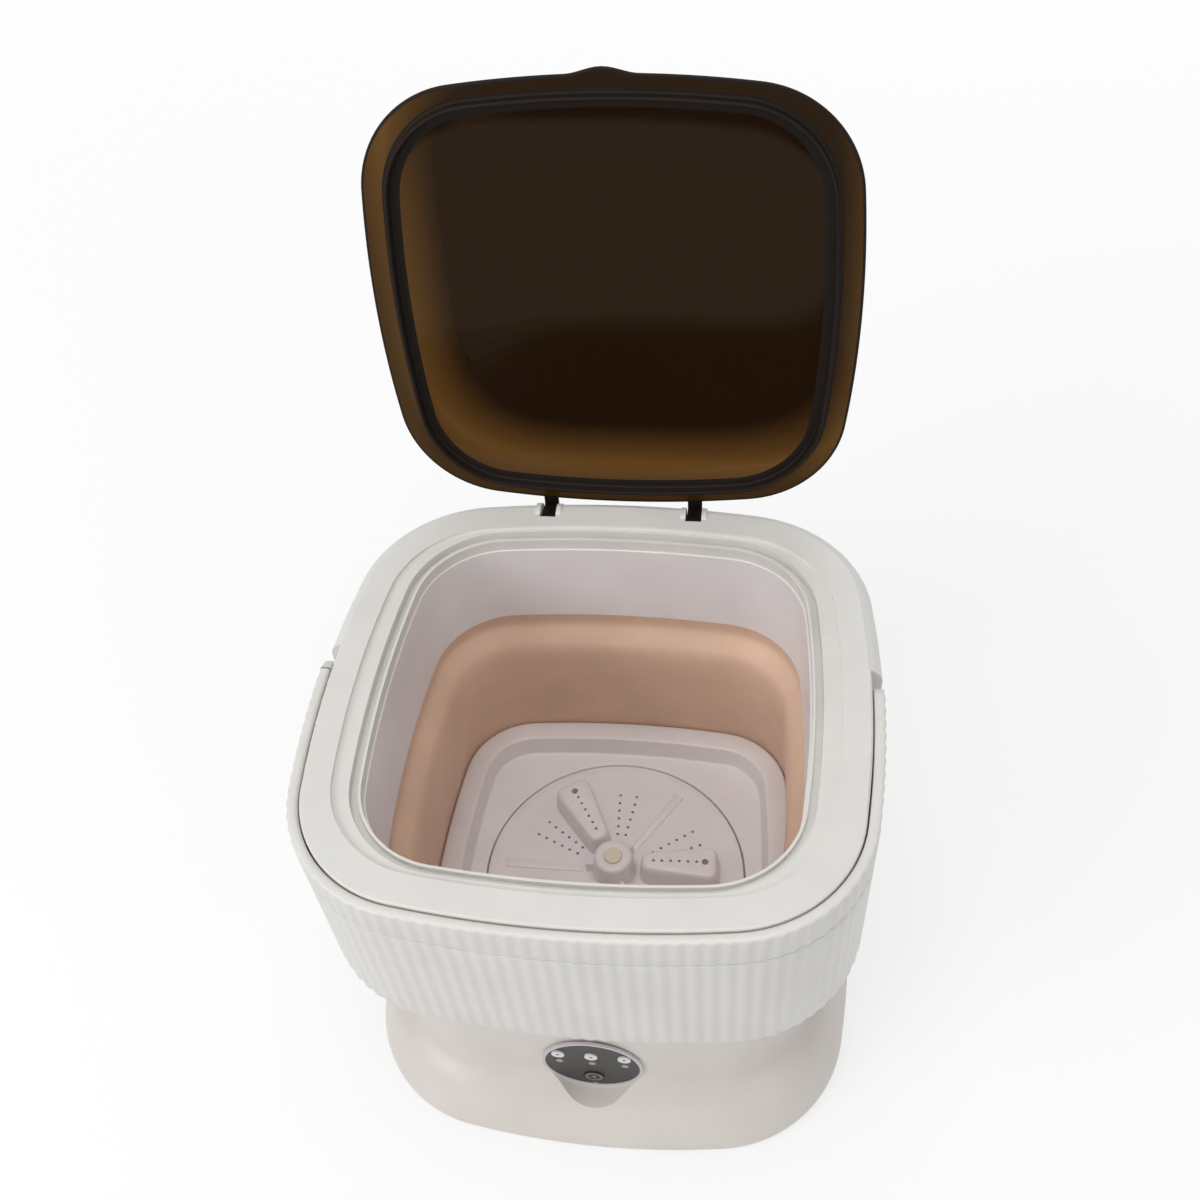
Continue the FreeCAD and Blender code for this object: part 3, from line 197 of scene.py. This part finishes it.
def smooth_line(points, steps):
    """Points along a smooth curve through the given (inset, level) pairs."""
    line = []
    last = len(points) - 1
    for index in range(last):
        p0 = Vector(points[max(index - 1, 0)])
        p1 = Vector(points[index])
        p2 = Vector(points[index + 1])
        p3 = Vector(points[min(index + 2, last)])
        for step in range(steps):
            t = step / steps
            line.append(0.5 * (2 * p1 + (p2 - p0) * t + (2 * p0 - 5 * p1 + 4 * p2 - p3) * t ** 2
                               + (3 * p1 - p0 - 3 * p2 + p3) * t ** 3))
    line.append(Vector(points[-1]))
    return line


def add_piece(name, mesh):
    piece = bpy.data.objects.new(name, mesh)
    scene.collection.objects.link(piece)
    return piece


def skin(name, rings, closed=False, start_cap=False, end_cap=False):
    """Smooth mesh over rings of equal count; a closed one joins its last ring to its first."""
    shape = bmesh.new()
    rows = [[shape.verts.new(point) for point in points] for points in rings]
    pairs = list(zip(rows, rows[1:] + rows[:1])) if closed else list(zip(rows, rows[1:]))
    for lower, upper in pairs:
        for index in range(len(lower)):
            after = (index + 1) % len(lower)
            shape.faces.new((lower[index], lower[after], upper[after], upper[index]))
    if start_cap:
        shape.faces.new(list(reversed(rows[0])))
    if end_cap:
        shape.faces.new(rows[-1])
    bmesh.ops.recalc_face_normals(shape, faces=shape.faces)
    mesh = bpy.data.meshes.new(name)
    shape.to_mesh(mesh)
    shape.free()
    mesh.shade_smooth()
    return add_piece(name, mesh)


def srgb(red, green, blue):
    """Linear colour of a screen colour given from 0 to 255."""
    channels = []
    for value in (red, green, blue):
        share = value / 255
        channels.append(share / 12.92 if share <= 0.04045 else ((share + 0.055) / 1.055) ** 2.4)
    return (*channels, 1)


def shade(colour, factor):
    return (*(channel * factor for channel in colour[:3]), 1)


def plastic(name, colour, roughness, mottle=0.03, grain=0.02, grain_scale=1600):
    """Moulded plastic: faint mottling in its colour and a fine grain in its gloss and surface."""
    material = bpy.data.materials.new(name)
    material.use_nodes = True
    tree = material.node_tree
    shader = tree.nodes["Principled BSDF"]
    place = tree.nodes.new("ShaderNodeTexCoord")
    cloud = tree.nodes.new("ShaderNodeTexNoise")
    cloud.inputs["Scale"].default_value = 26
    cloud.inputs["Detail"].default_value = 4
    tones = tree.nodes.new("ShaderNodeValToRGB")
    tones.color_ramp.elements[0].position = 0.3
    tones.color_ramp.elements[1].position = 0.7
    tones.color_ramp.elements[0].color = shade(colour, 1 - mottle)
    tones.color_ramp.elements[1].color = shade(colour, 1 + mottle)
    fine = tree.nodes.new("ShaderNodeTexNoise")
    fine.inputs["Scale"].default_value = grain_scale
    fine.inputs["Detail"].default_value = 2
    gloss = tree.nodes.new("ShaderNodeMapRange")
    gloss.inputs["To Min"].default_value = roughness - 0.04
    gloss.inputs["To Max"].default_value = roughness + 0.04
    bump = tree.nodes.new("ShaderNodeBump")
    bump.inputs["Strength"].default_value = grain
    bump.inputs["Distance"].default_value = 0.0004
    link = tree.links.new
    link(place.outputs["Object"], cloud.inputs["Vector"])
    link(place.outputs["Object"], fine.inputs["Vector"])
    link(cloud.outputs["Fac"], tones.inputs["Fac"])
    link(tones.outputs["Color"], shader.inputs["Base Color"])
    link(fine.outputs["Fac"], gloss.inputs["Value"])
    link(gloss.outputs["Result"], shader.inputs["Roughness"])
    link(fine.outputs["Fac"], bump.inputs["Height"])
    link(bump.outputs["Normal"], shader.inputs["Normal"])
    return material


def metal(name, colour, roughness):
    """Turned or rolled metal with fine streaks in its gloss."""
    material = plastic(name, colour, roughness, mottle=0.06, grain=0.06, grain_scale=900)
    material.node_tree.nodes["Principled BSDF"].inputs["Metallic"].default_value = 1
    return material


def smoked(name, deep, edge):
    """Smoked clear plastic with painted light: nearly black over the middle, and an amber glow painted round
    the edge where light leaks in, darker again at the outer rim.
    """
    material = plastic(name, deep, 0.07, grain=0.004, grain_scale=240)
    tree = material.node_tree
    shader = tree.nodes["Principled BSDF"]
    place = tree.nodes["Texture Coordinate"]
    stretch = tree.nodes.new("ShaderNodeMapping")
    stretch.vector_type = "TEXTURE"
    stretch.inputs["Location"].default_value = opened(Vector((*PAINTED_GLOW_MIDDLE, LID_UNDER)) * MM)
    stretch.inputs["Scale"].default_value = (PAINTED_GLOW_REACH, 1, PAINTED_GLOW_REACH)
    parts = tree.nodes.new("ShaderNodeSeparateXYZ")
    total = tree.nodes.new("ShaderNodeMath")
    total.operation = "ADD"
    link = tree.links.new
    link(place.outputs["Object"], stretch.inputs["Vector"])
    link(stretch.outputs["Vector"], parts.inputs["Vector"])
    for index, axis in enumerate("XZ"):
        square = tree.nodes.new("ShaderNodeMath")
        square.operation = "MULTIPLY"
        fourth = tree.nodes.new("ShaderNodeMath")
        fourth.operation = "MULTIPLY"
        link(parts.outputs[axis], square.inputs[0])
        link(parts.outputs[axis], square.inputs[1])
        link(square.outputs["Value"], fourth.inputs[0])
        link(square.outputs["Value"], fourth.inputs[1])
        link(fourth.outputs["Value"], total.inputs[index])
    # painted light: the amber glow round the lid's edge and its darker outer band are painted into the
    # colour
    tones = tree.nodes.new("ShaderNodeValToRGB")
    tones.color_ramp.elements[0].position = 0.25
    tones.color_ramp.elements[1].position = 0.6
    tones.color_ramp.elements[0].color = deep
    tones.color_ramp.elements[1].color = edge
    tones.color_ramp.elements.new(0.9).color = shade(edge, 0.42)
    link(total.outputs["Value"], tones.inputs["Fac"])
    link(tones.outputs["Color"], shader.inputs["Base Color"])
    shader.inputs["Transmission Weight"].default_value = 0.3
    shader.inputs["IOR"].default_value = 1.49
    shader.inputs["Specular IOR Level"].default_value = 0.1
    shader.inputs["Specular Tint"].default_value = (1, 0.7, 0.45, 1)
    return material


def opened(point):
    """A point of the closed lid, in metres, turned up with the lid about its hinge."""
    pivot = Vector((0, HINGE_Y, HINGE_Z)) * MM
    turn = Matrix.Rotation(math.radians(-LID_OPEN), 3, "X")
    return pivot + turn @ (point - pivot)


CREAM = srgb(225, 223, 218)
MATERIALS = {
    "shell_white": plastic("cream_plastic", CREAM, 0.38),
    "inner_lilac": plastic("lilac_plastic", srgb(233, 229, 230), 0.36),
    "soft_beige": plastic("soft_elastomer", srgb(225, 192, 168), 0.5, mottle=0.05, grain=0.08,
                          grain_scale=700),
    # painted light: the lid's amber edge glow is painted into its colour, not lit
    "lid_smoke": smoked("smoked_clear_plastic", srgb(30, 15, 4), srgb(112, 78, 36)),
    "panel_black": plastic("panel_film", srgb(48, 47, 46), 0.45, mottle=0.05),
    "bezel_silver": plastic("satin_bezel", srgb(206, 202, 208), 0.3),
    "key_white": plastic("key_plastic", srgb(232, 232, 228), 0.35),
    "window_grey": plastic("window_lens", srgb(170, 160, 152), 0.25),
    "cap_beige": plastic("cap_plastic", srgb(226, 216, 196), 0.4),
    "steel": metal("bright_steel", srgb(176, 178, 180), 0.3),
    "motor_metal": metal("painted_motor_can", srgb(120, 122, 126), 0.45),
    "rubber_black": plastic("black_rubber", srgb(38, 38, 38), 0.8, mottle=0.08, grain=0.15,
                            grain_scale=900),
    "rubber_grey": plastic("grey_rubber", srgb(120, 118, 116), 0.75, mottle=0.06, grain=0.15,
                           grain_scale=900),
    "board_green": plastic("board_laminate", srgb(34, 92, 58), 0.4, mottle=0.1, grain=0.1, grain_scale=500),
    "pulley_grey": plastic("pulley_resin", srgb(150, 150, 148), 0.5, mottle=0.05, grain=0.06),
}
BASE_TONE = plastic("warm_base_plastic", srgb(226, 219, 213), 0.36)
LID_EDGE = plastic("smoked_edge", srgb(24, 17, 12), 0.55, grain=0.01)
LID_EDGE.node_tree.nodes["Principled BSDF"].inputs["Specular IOR Level"].default_value = 0.15
MARK = plastic("printed_mark", srgb(92, 90, 90), 0.5)


def paint(piece, material):
    piece.data.materials.clear()
    piece.data.materials.append(material)


def soften(piece, width, angle):
    """Rounds a solid's edges sharper than an angle in degrees, and evens its shading."""
    weld = piece.modifiers.new("weld", "WELD")
    weld.merge_threshold = 1e-6
    bevel = piece.modifiers.new("bevel", "BEVEL")
    bevel.width = width * MM
    bevel.segments = 3
    bevel.use_clamp_overlap = False
    bevel.limit_method = "ANGLE"
    bevel.angle_limit = math.radians(angle)
    piece.modifiers.new("even", "WEIGHTED_NORMAL")


def dress_solids():
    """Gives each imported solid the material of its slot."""
    slots = {item["node"]: item["material_slot"] for item in frame["record"]["subparts"]}
    special = {"base_shell": BASE_TONE, "key_power": MATERIALS["panel_black"]}
    for name, piece in nodes.items():
        slot = slots[name]
        paint(piece, special.get(name, MATERIALS[slot]))
    soften(nodes["tub_floor"], 1.4, 32)


def make_folding_wall():
    """Soft wall that hangs from the collar, bulges in a rounded shoulder and drops to the tub floor."""
    top = COLLAR_BOTTOM - 0.2
    thickness = 2.1
    flange = -9.5
    inside = smooth_line([(3.8, WALL_FOOT + 0.3), (3.8, TUB_RIM + 1), (5.4, 100), (7.6, 122), (9.2, 142),
                          (9.9, 156), (9.7, 166), (8.2, 173), (4.6, 178.6), (0.8, 183.4), (-0.9, 186.2),
                          (-1.4, 189.4), (-1.5, top)], 8)
    outside = [(inset - thickness, level) for inset, level in reversed(inside)]
    outside[0] = (flange, top)
    outside[1:6] = [(flange, COLLAR_BOTTOM - 2.2), (-4.6, COLLAR_BOTTOM - 2.4)]
    rings = [ring(OPENING, inset, level) for inset, level in list(inside) + outside]
    wall = skin("soft_folding_wall", rings, closed=True)
    paint(wall, MATERIALS["soft_beige"])
    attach(wall, "base")
    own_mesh(wall)
    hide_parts("folding_wall")


def lid_tab(point):
    """Draws the front edge of the closed lid out into a wide, dished finger tab."""
    x, y, z = point / MM
    if y > -TAB_FRONT or abs(x) > TAB_HALF:
        return point
    swell = math.cos(x / TAB_HALF * math.pi / 2) ** 2
    near = min(1, (-y - TAB_FRONT) / 6)
    dish = max(0, 1 - (x / 9) ** 2) * math.sin(near * math.pi)
    return Vector((x, y - TAB_REACH * swell * near, z + 0.9 * dish)) * MM


def inner_rings(outline, inset, level, shares):
    """Smaller copies of an outline that close a lid face towards its middle."""
    edge = ring(outline, inset, level)
    return [[Vector((point.x * share, point.y * share, point.z)) for point in edge] for share in shares]


def make_lid():
    """Smoked lid with a domed top, a hollow underside and a sealing rib, built closed and then opened."""
    top = [(46, 8.3), (38, 7.6), (28, 6.6), (20, 5.2), (14, 4.3), (9, 3.2), (5, 2.65), (2.2, 2.4)]
    edge = [(1.2, 2.3), (0.4, 1.9), (0, 1.2), (0.1, 0.5), (0.7, 0.05), (1.6, 0)]
    rib = [(-6.4, 0), (-5.0, 0), (-4.4, -0.5), (-4.2, -1.4), (-4.1, -5.2), (-3.8, -5.8), (-3.1, -6),
           (-2.4, -5.8), (-2.0, -5.2), (-1.9, -1.2), (-1.4, -0.2), (-0.6, 0)]
    hollow = [(0.6, 0), (3, 0.8), (8, 2.2), (16, 3.6), (24, 4.6), (32, 5.4)]
    rings = inner_rings(LID, top[0][0], LID_UNDER + top[0][1], INNER_SHARES)
    first_edge = len(rings) + len(top)
    first_rib = first_edge + len(edge)
    rings += [ring(LID, inset, LID_UNDER + level) for inset, level in top + edge]
    rings += [ring(OPENING, inset, LID_UNDER + level) for inset, level in rib + hollow]
    rings += inner_rings(OPENING, hollow[-1][0], LID_UNDER + hollow[-1][1], reversed(INNER_SHARES))
    rings = [[opened(lid_tab(point)) for point in points] for points in rings]
    lid = skin("smoked_lid", rings, start_cap=True, end_cap=True)
    paint(lid, MATERIALS["lid_smoke"])
    lid.data.materials.append(LID_EDGE)
    dark_rows = set(range(first_edge, first_rib - 1)) | set(range(first_rib, first_rib + len(rib) + 1))
    for face in lid.data.polygons:
        face.material_index = int(face.index // AROUND in dark_rows)
    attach(lid, "lid")
    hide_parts("lid")
    for index, side in enumerate((-1, 1)):
        make_lug(f"lid_lug_{index + 1}", side * HINGE_SPREAD / 2)


def make_lug(name, middle):
    """Hinge lug of the lid: a rounded arm that ends in a knuckle round the pin."""
    top = LID_UNDER + 2.3
    under = LID_UNDER + 0.1
    profile = [(LUG_FRONT, top), (LUG_FRONT, under), (HINGE_Y - 5.6, under)]
    for step in range(13):
        angle = math.radians(150 + step * 20)
        profile.append((HINGE_Y + LUG_KNUCKLE * math.cos(angle), HINGE_Z + LUG_KNUCKLE * math.sin(angle)))
    profile.append((HINGE_Y + 3.4, top))
    centre = Vector((HINGE_Y - 4, HINGE_Z + 10.5))
    flat = LUG_HALF - LUG_EDGE
    rings = []
    for x, shrink in ((-LUG_HALF, LUG_EDGE), (-flat, 0), (flat, 0), (LUG_HALF, LUG_EDGE)):
        points = []
        for y, z in profile:
            point = Vector((y, z))
            point += (centre - point).normalized() * shrink
            points.append(opened(Vector((middle + x, point.x, point.y)) * MM))
        rings.append(points)
    lug = skin(name, rings, start_cap=True, end_cap=True)
    shape = bmesh.new()
    shape.from_mesh(lug.data)
    bmesh.ops.triangulate(shape, faces=[face for face in shape.faces if len(face.verts) > 4])
    shape.to_mesh(lug.data)
    shape.free()
    lug.data.set_sharp_from_angle(angle=math.radians(40))
    paint(lug, LID_EDGE)
    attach(lug, "lid")


def rib_inset(share):
    """How far the ribbed side lies inside the outline at a share of the way round."""
    return RIB_DEPTH * (0.5 + 0.5 * math.cos(2 * math.pi * RIBS * share))


def side_point(share, inset, level, ribbing):
    """Point on the ribbed side, in metres; its ribbing runs from 0 for smooth to 1 for full ribs."""
    point, outward = outline_point(UPPER, 0, share)
    point = point - outward * (inset + ribbing * rib_inset(share))
    return Vector((point.x, point.y, level)) * MM


def make_band():
    """Outer band with soft upright ribs, a rounded lower edge and a flange under the rim."""
    low, high = BAND_BOTTOM, PARTING
    profile = [(3.5, low, 0), (1.7, low, 0.3), (0.8, low + 0.15, 0.8), (0.25, low + 0.6, 1),
               (0, low + 1.5, 1)]
    profile += [(0, low + step * (high - low) / 8, 1) for step in range(1, 8)]
    profile += [(0, high - 1.4, 1), (0.25, high - 0.5, 1), (0.8, high - 0.1, 0.8), (1.7, high, 0.3),
                (13.5, high, 0), (13.5, high - 2.5, 0), (3.6, high - 2.5, 0), (3.5, high - 3.5, 0)]
    count = RIBS * RIB_STEPS
    rings = [[side_point(index / count, inset, level, ribbing) for index in range(count)]
             for inset, level, ribbing in profile]
    band = skin("ribbed_outer_band", rings, closed=True)
    band.data.set_sharp_from_angle(angle=math.radians(50))
    paint(band, MATERIALS["shell_white"])
    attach(band, "upper")
    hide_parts("ribbed_band")


def handle_section(share, half):
    """Closed section across the handle at a share of the way round, for its half height there."""
    soft = min(1.5, half * 0.6)
    middle = RIM_TOP - HANDLE_HALF
    corners = [(soft, -half, 0.1), (soft * 0.3, -half + soft * 0.3, 0.7), (0, -half + soft, 1), (0, 0, 1),
               (0, half - soft, 1), (soft * 0.3, half - soft * 0.3, 0.7), (soft, half, 0.1),
               (HANDLE_WALL - soft, half, 0), (HANDLE_WALL - soft * 0.3, half - soft * 0.3, 0),
               (HANDLE_WALL, half - soft, 0), (HANDLE_WALL, 0, 0), (HANDLE_WALL, -half + soft, 0),
               (HANDLE_WALL - soft * 0.3, -half + soft * 0.3, 0), (HANDLE_WALL - soft, -half, 0)]
    return [side_point(share, inset, middle + rise, ribbing) for inset, rise, ribbing in corners]


def make_handle():
    """U-shaped carry handle round the front of the rim, with ribs outside and rounded ends."""
    corners = [outline_point(UPPER, 0, index / 400)[0] for index in range(401)]
    around = sum((before - after).length for before, after in zip(corners, corners[1:]))
    pivot = HANDLE_PIVOT_Y / around
    end = []
    for step in range(12):
        angle = math.radians(88 - 8 * step)
        end.append((pivot + HANDLE_HALF * math.sin(angle) / around, HANDLE_HALF * math.cos(angle)))
    steps = RIBS * RIB_STEPS
    first = math.ceil((pivot - 0.5) * steps) - round(2 * pivot * steps)
    last = math.floor(pivot * steps)
    columns = [(-0.5 - share, half) for share, half in end]
    columns += [(index / steps, HANDLE_HALF) for index in range(first, last)]
    columns += list(reversed(end))
    rings = [handle_section(share, half) for share, half in columns]
    handle = skin("ribbed_carry_handle", rings, start_cap=True, end_cap=True)
    paint(handle, MATERIALS["shell_white"])
    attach(handle, "handle")
    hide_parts("carry_handle")


def pegs(places):
    """Upright cutting pegs at (x, y, radius, bottom, top), in millimetres, as one mesh object."""
    shape = bmesh.new()
    for x, y, radius, bottom, top in places:
        spot = Matrix.Translation(Vector((x, y, (bottom + top) / 2)) * MM)
        bmesh.ops.create_cone(shape, cap_ends=True, segments=16, radius1=radius * MM, radius2=radius * MM,
                              depth=(top - bottom) * MM, matrix=spot)
    mesh = bpy.data.meshes.new("pegs")
    shape.to_mesh(mesh)
    shape.free()
    return add_piece("pegs", mesh)


def drill(piece, places):
    """Cuts round holes in a piece and keeps its shading smooth."""
    cutter = pegs(places)
    change = piece.modifiers.new("holes", "BOOLEAN")
    change.operation = "DIFFERENCE"
    change.solver = "EXACT"
    change.object = cutter
    drilled = bpy.data.meshes.new_from_object(piece.evaluated_get(bpy.context.evaluated_depsgraph_get()))
    piece.modifiers.clear()
    old = piece.data
    drilled.name = old.name
    piece.data = drilled
    bpy.data.meshes.remove(old)
    bpy.data.meshes.remove(cutter.data)
    piece.data.set_sharp_from_angle(angle=math.radians(38))


def polar(reach, degrees):
    """Coordinates at a distance and an angle from the tub's axis."""
    turned = math.radians(degrees)
    return reach * math.cos(turned), reach * math.sin(turned)


def turned_pad(name, corners, radius, layers, angle):
    """Raised pad with a rounded outline: layers of (inset, level), turned about the tub's axis."""
    outline = rounded(corners, radius, 6)
    count = len(outline)
    turn = Matrix.Rotation(math.radians(angle), 2)
    rings = []
    for inset, level in layers:
        points = []
        for index in range(count):
            along = outline[(index + 1) % count] - outline[index - 1]
            inward = Vector((-along.y, along.x)).normalized()
            point = turn @ (outline[index] + inward * inset)
            points.append(Vector((point.x, point.y, level)) * MM)
        rings.append(points)
    return skin(name, rings, start_cap=True, end_cap=True)


def make_pulsator():
    """Turning disc with a hub, three rounded vanes, three flat ribs, three small fins and drain holes."""
    top, crown, radius = TUB_FLOOR, HUB_TOP, PULSATOR
    profile = [(5.6, crown - 7), (2.1, crown - 7), (2.1, 83.5), (4.05, 83.5), (4.05, WELL_FLOOR + 0.4),
               (8, WELL_FLOOR + 0.4), (8, top - 3), (radius, top - 3), (radius, top - 0.6),
               (radius - 0.4, top + 0.1), (radius - 1.6, top + 0.5), (radius - 4, top + 0.7),
               (radius - 7, top + 0.5), (radius - 10, top + 0.1), (radius - 13, top - 0.1), (50, top),
               (25, top + 0.4), (18, top + 0.8), (15.6, top + 1.5), (HUB + 0.7, top + 3), (HUB, top + 5),
               (HUB - 1, crown - 2.6), (HUB - 1.4, crown - 1.3), (HUB - 2.2, crown - 0.4),
               (HUB - 3.4, crown), (7.2, crown), (6.2, crown - 0.3), (5.6, crown - 1)]
    rings = [[Vector((*polar(reach, 360 * index / DISC_SIDES), level)) * MM for index in range(DISC_SIDES)]
             for reach, level in profile]
    disc = skin("pulsator_disc", rings, closed=True)
    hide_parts("pulsator")
    vane_layers = [(0, top - 0.8), (0, top + 1), (0.7, top + 7), (1.3, VANE_TOP - 4.4),
                   (1.6, VANE_TOP - 2.7), (2.2, VANE_TOP - 1.3), (3.0, VANE_TOP - 0.4), (4.2, VANE_TOP)]
    strip_layers = [(0, top - 0.6), (0, top + 0.5), (0.3, top + 1.0), (0.9, top + 1.25)]
    fin_layers = [(0, top - 0.5), (0.2, top + 8.5), (0.5, top + 9.3), (0.9, top + 9.6)]
    made = [disc]
    small = []
    for third in range(3):
        angle = VANE_ANGLE + 120 * third
        rib_angle = angle + RIB_ANGLE
        vane = turned_pad(f"pulsator_vane_{third + 1}", [(16.5, -7.8), (69, -14.4), (69, 14.4), (16.5, 7.8)],
                          10, vane_layers, angle)
        holes = [(*polar(26 + 5.6 * step, angle), SMALL_HOLE, VANE_TOP - 9, VANE_TOP + 5)
                 for step in range(ROW_HOLES)]
        holes.append((*polar(59.5, angle), LARGE_HOLE, VANE_TOP - 9, VANE_TOP + 5))
        drill(vane, holes)
        strip = turned_pad(f"pulsator_rib_{third + 1}", [(21, -2.2), (73, -3.4), (73, 3.4), (21, 2.2)],
                           1.2, strip_layers, rib_angle)
        fin = turned_pad(f"pulsator_fin_{third + 1}", [(11, -1.6), (19, -1.6), (19, 1.6), (11, 1.6)],
                         0.9, fin_layers, rib_angle)
        made += [vane, strip, fin]
        for spread in ROW_SPREADS:
            small += [(*polar(29 + 6.2 * step, rib_angle + spread), SMALL_HOLE, top - 5, top + 5)
                      for step in range(ROW_HOLES)]
    drill(disc, small)
    for piece in made:
        paint(piece, MATERIALS["inner_lilac"])
        piece.data.set_sharp_from_angle(angle=math.radians(38))
        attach(piece, "pulsator")


def flat_ring(name, centre, inner, outer, face, body, sides=48):
    """Thin raised mark on the front of a key: a ring, or a dot where its inner radius is tiny."""
    rings = []
    for radius, depth in ((inner, 0.2), (inner, -0.04), (outer, -0.04), (outer, 0.2)):
        rings.append([Vector((centre[0] + radius * math.cos(2 * math.pi * index / sides), face + depth,
                              centre[1] + radius * math.sin(2 * math.pi * index / sides))) * MM
                      for index in range(sides)])
    piece = skin(name, rings, closed=True)
    piece.data.set_sharp_from_angle(angle=math.radians(40))
    paint(piece, MATERIALS["window_grey"] if body == "key_power" else MARK)
    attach(piece, body)


def make_key_marks():
    """Plain marks: a ring and a dot on the power key, a dot on each programme key."""
    for name in ("key_left", "key_middle", "key_right", "key_power"):
        low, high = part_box(name)
        centre = ((low[0] + high[0]) / 2 / MM, (low[2] + high[2]) / 2 / MM)
        face = low[1] / MM
        flat_ring(name + "_dot", centre, 0.05, 0.9, face, name, 20)
        if name == "key_power":
            flat_ring("key_power_ring", centre, 4.3, 4.9, face, name)


def make_stage():
    """White floor that keeps the object's shadow, a white surround, and soft lamps."""
    floor_mesh = bpy.data.meshes.new("floor")
    shape = bmesh.new()
    bmesh.ops.create_circle(shape, cap_ends=True, segments=96, radius=FLOOR_RADIUS)
    shape.to_mesh(floor_mesh)
    shape.free()
    floor = add_piece("floor", floor_mesh)
    floor.location.z = -FLOOR_DROP
    material = bpy.data.materials.new("white_floor")
    material.use_nodes = True
    tree = material.node_tree
    shader = tree.nodes["Principled BSDF"]
    shader.inputs["Roughness"].default_value = 0.9
    shader.inputs["Specular IOR Level"].default_value = 0.0
    shader.inputs["Emission Color"].default_value = (1, 1, 1, 1)
    shown = seen_directly(tree)
    tone = tree.nodes.new("ShaderNodeMapRange")
    tone.inputs["To Min"].default_value = FLOOR_LIT
    tone.inputs["To Max"].default_value = FLOOR_SEEN
    place = tree.nodes.new("ShaderNodeTexCoord")
    away = tree.nodes.new("ShaderNodeVectorMath")
    away.operation = "LENGTH"
    rising = tree.nodes.new("ShaderNodeMapRange")
    rising.inputs["From Min"].default_value = GLOW_NEAR
    rising.inputs["From Max"].default_value = GLOW_FAR
    rising.inputs["To Min"].default_value = GLOW_LOW
    rising.inputs["To Max"].default_value = GLOW_HIGH
    glow = tree.nodes.new("ShaderNodeMath")
    glow.operation = "MULTIPLY"
    link = tree.links.new
    link(shown.outputs["Value"], tone.inputs["Value"])
    link(tone.outputs["Result"], shader.inputs["Base Color"])
    link(place.outputs["Object"], away.inputs[0])
    link(away.outputs["Value"], rising.inputs["Value"])
    link(rising.outputs["Result"], glow.inputs[0])
    link(shown.outputs["Value"], glow.inputs[1])
    link(glow.outputs["Value"], shader.inputs["Emission Strength"])
    paint(floor, material)

    world = bpy.data.worlds.new("surround")
    scene.world = world
    world.use_nodes = True
    tree = world.node_tree
    background = tree.nodes["Background"]
    background.inputs["Color"].default_value = (1, 1, 1, 1)
    level = tree.nodes.new("ShaderNodeMapRange")
    level.inputs["To Min"].default_value = SURROUND_LIT
    level.inputs["To Max"].default_value = SURROUND_SEEN
    tree.links.new(seen_directly(tree).outputs["Value"], level.inputs["Value"])
    tree.links.new(level.outputs["Result"], background.inputs["Strength"])

    for name, location, width, power in LAMPS:
        lamp(name, location, width, power)


def seen_directly(tree):
    """Node that is 1 for rays from the camera, also by way of gloss or clear plastic, and 0 for others."""
    path = tree.nodes.new("ShaderNodeLightPath")
    seen = tree.nodes.new("ShaderNodeMath")
    seen.operation = "ADD"
    shown = tree.nodes.new("ShaderNodeMath")
    shown.operation = "ADD"
    shown.use_clamp = True
    tree.links.new(path.outputs["Is Camera Ray"], seen.inputs[0])
    tree.links.new(path.outputs["Is Glossy Ray"], seen.inputs[1])
    tree.links.new(seen.outputs["Value"], shown.inputs[0])
    tree.links.new(path.outputs["Is Transmission Ray"], shown.inputs[1])
    return shown


def lamp(name, place, width, power):
    """Square soft lamp that looks at the middle of the object."""
    light = bpy.data.lights.new(name, "AREA")
    light.size = width
    light.energy = power
    item = bpy.data.objects.new(name, light)
    item.location = place
    item.rotation_euler = (LAMP_TARGET - Vector(place)).to_track_quat("-Z", "Y").to_euler()
    scene.collection.objects.link(item)


def make_camera():
    """Camera at the photograph's viewing angle, with its slight roll."""
    azimuth = math.radians(11.07)
    elevation = math.radians(47.67)
    roll = math.radians(-5.77)
    distance = 0.626
    target = Vector((0.00846, 0, 0.33974))
    back = Vector((math.sin(azimuth) * math.cos(elevation), -math.cos(azimuth) * math.cos(elevation),
                   math.sin(elevation)))
    right = Vector((math.cos(azimuth), math.sin(azimuth), 0))
    up = back.cross(right)
    rolled_right = right * math.cos(roll) + up * math.sin(roll)
    rolled_up = up * math.cos(roll) - right * math.sin(roll)
    camera_data = bpy.data.cameras.new("camera")
    camera_data.lens = 37.54
    camera_data.sensor_width = 36
    camera_data.clip_start = 0.01
    camera = bpy.data.objects.new("camera", camera_data)
    axes = Matrix((rolled_right, rolled_up, back)).transposed().to_4x4()
    camera.matrix_world = Matrix.Translation(target + back * distance) @ axes
    scene.collection.objects.link(camera)
    scene.camera = camera


scene.view_settings.view_transform = "Standard"
dress_solids()
make_band()
make_handle()
make_folding_wall()
make_pulsator()
make_key_marks()
make_lid()
make_stage()
make_camera()
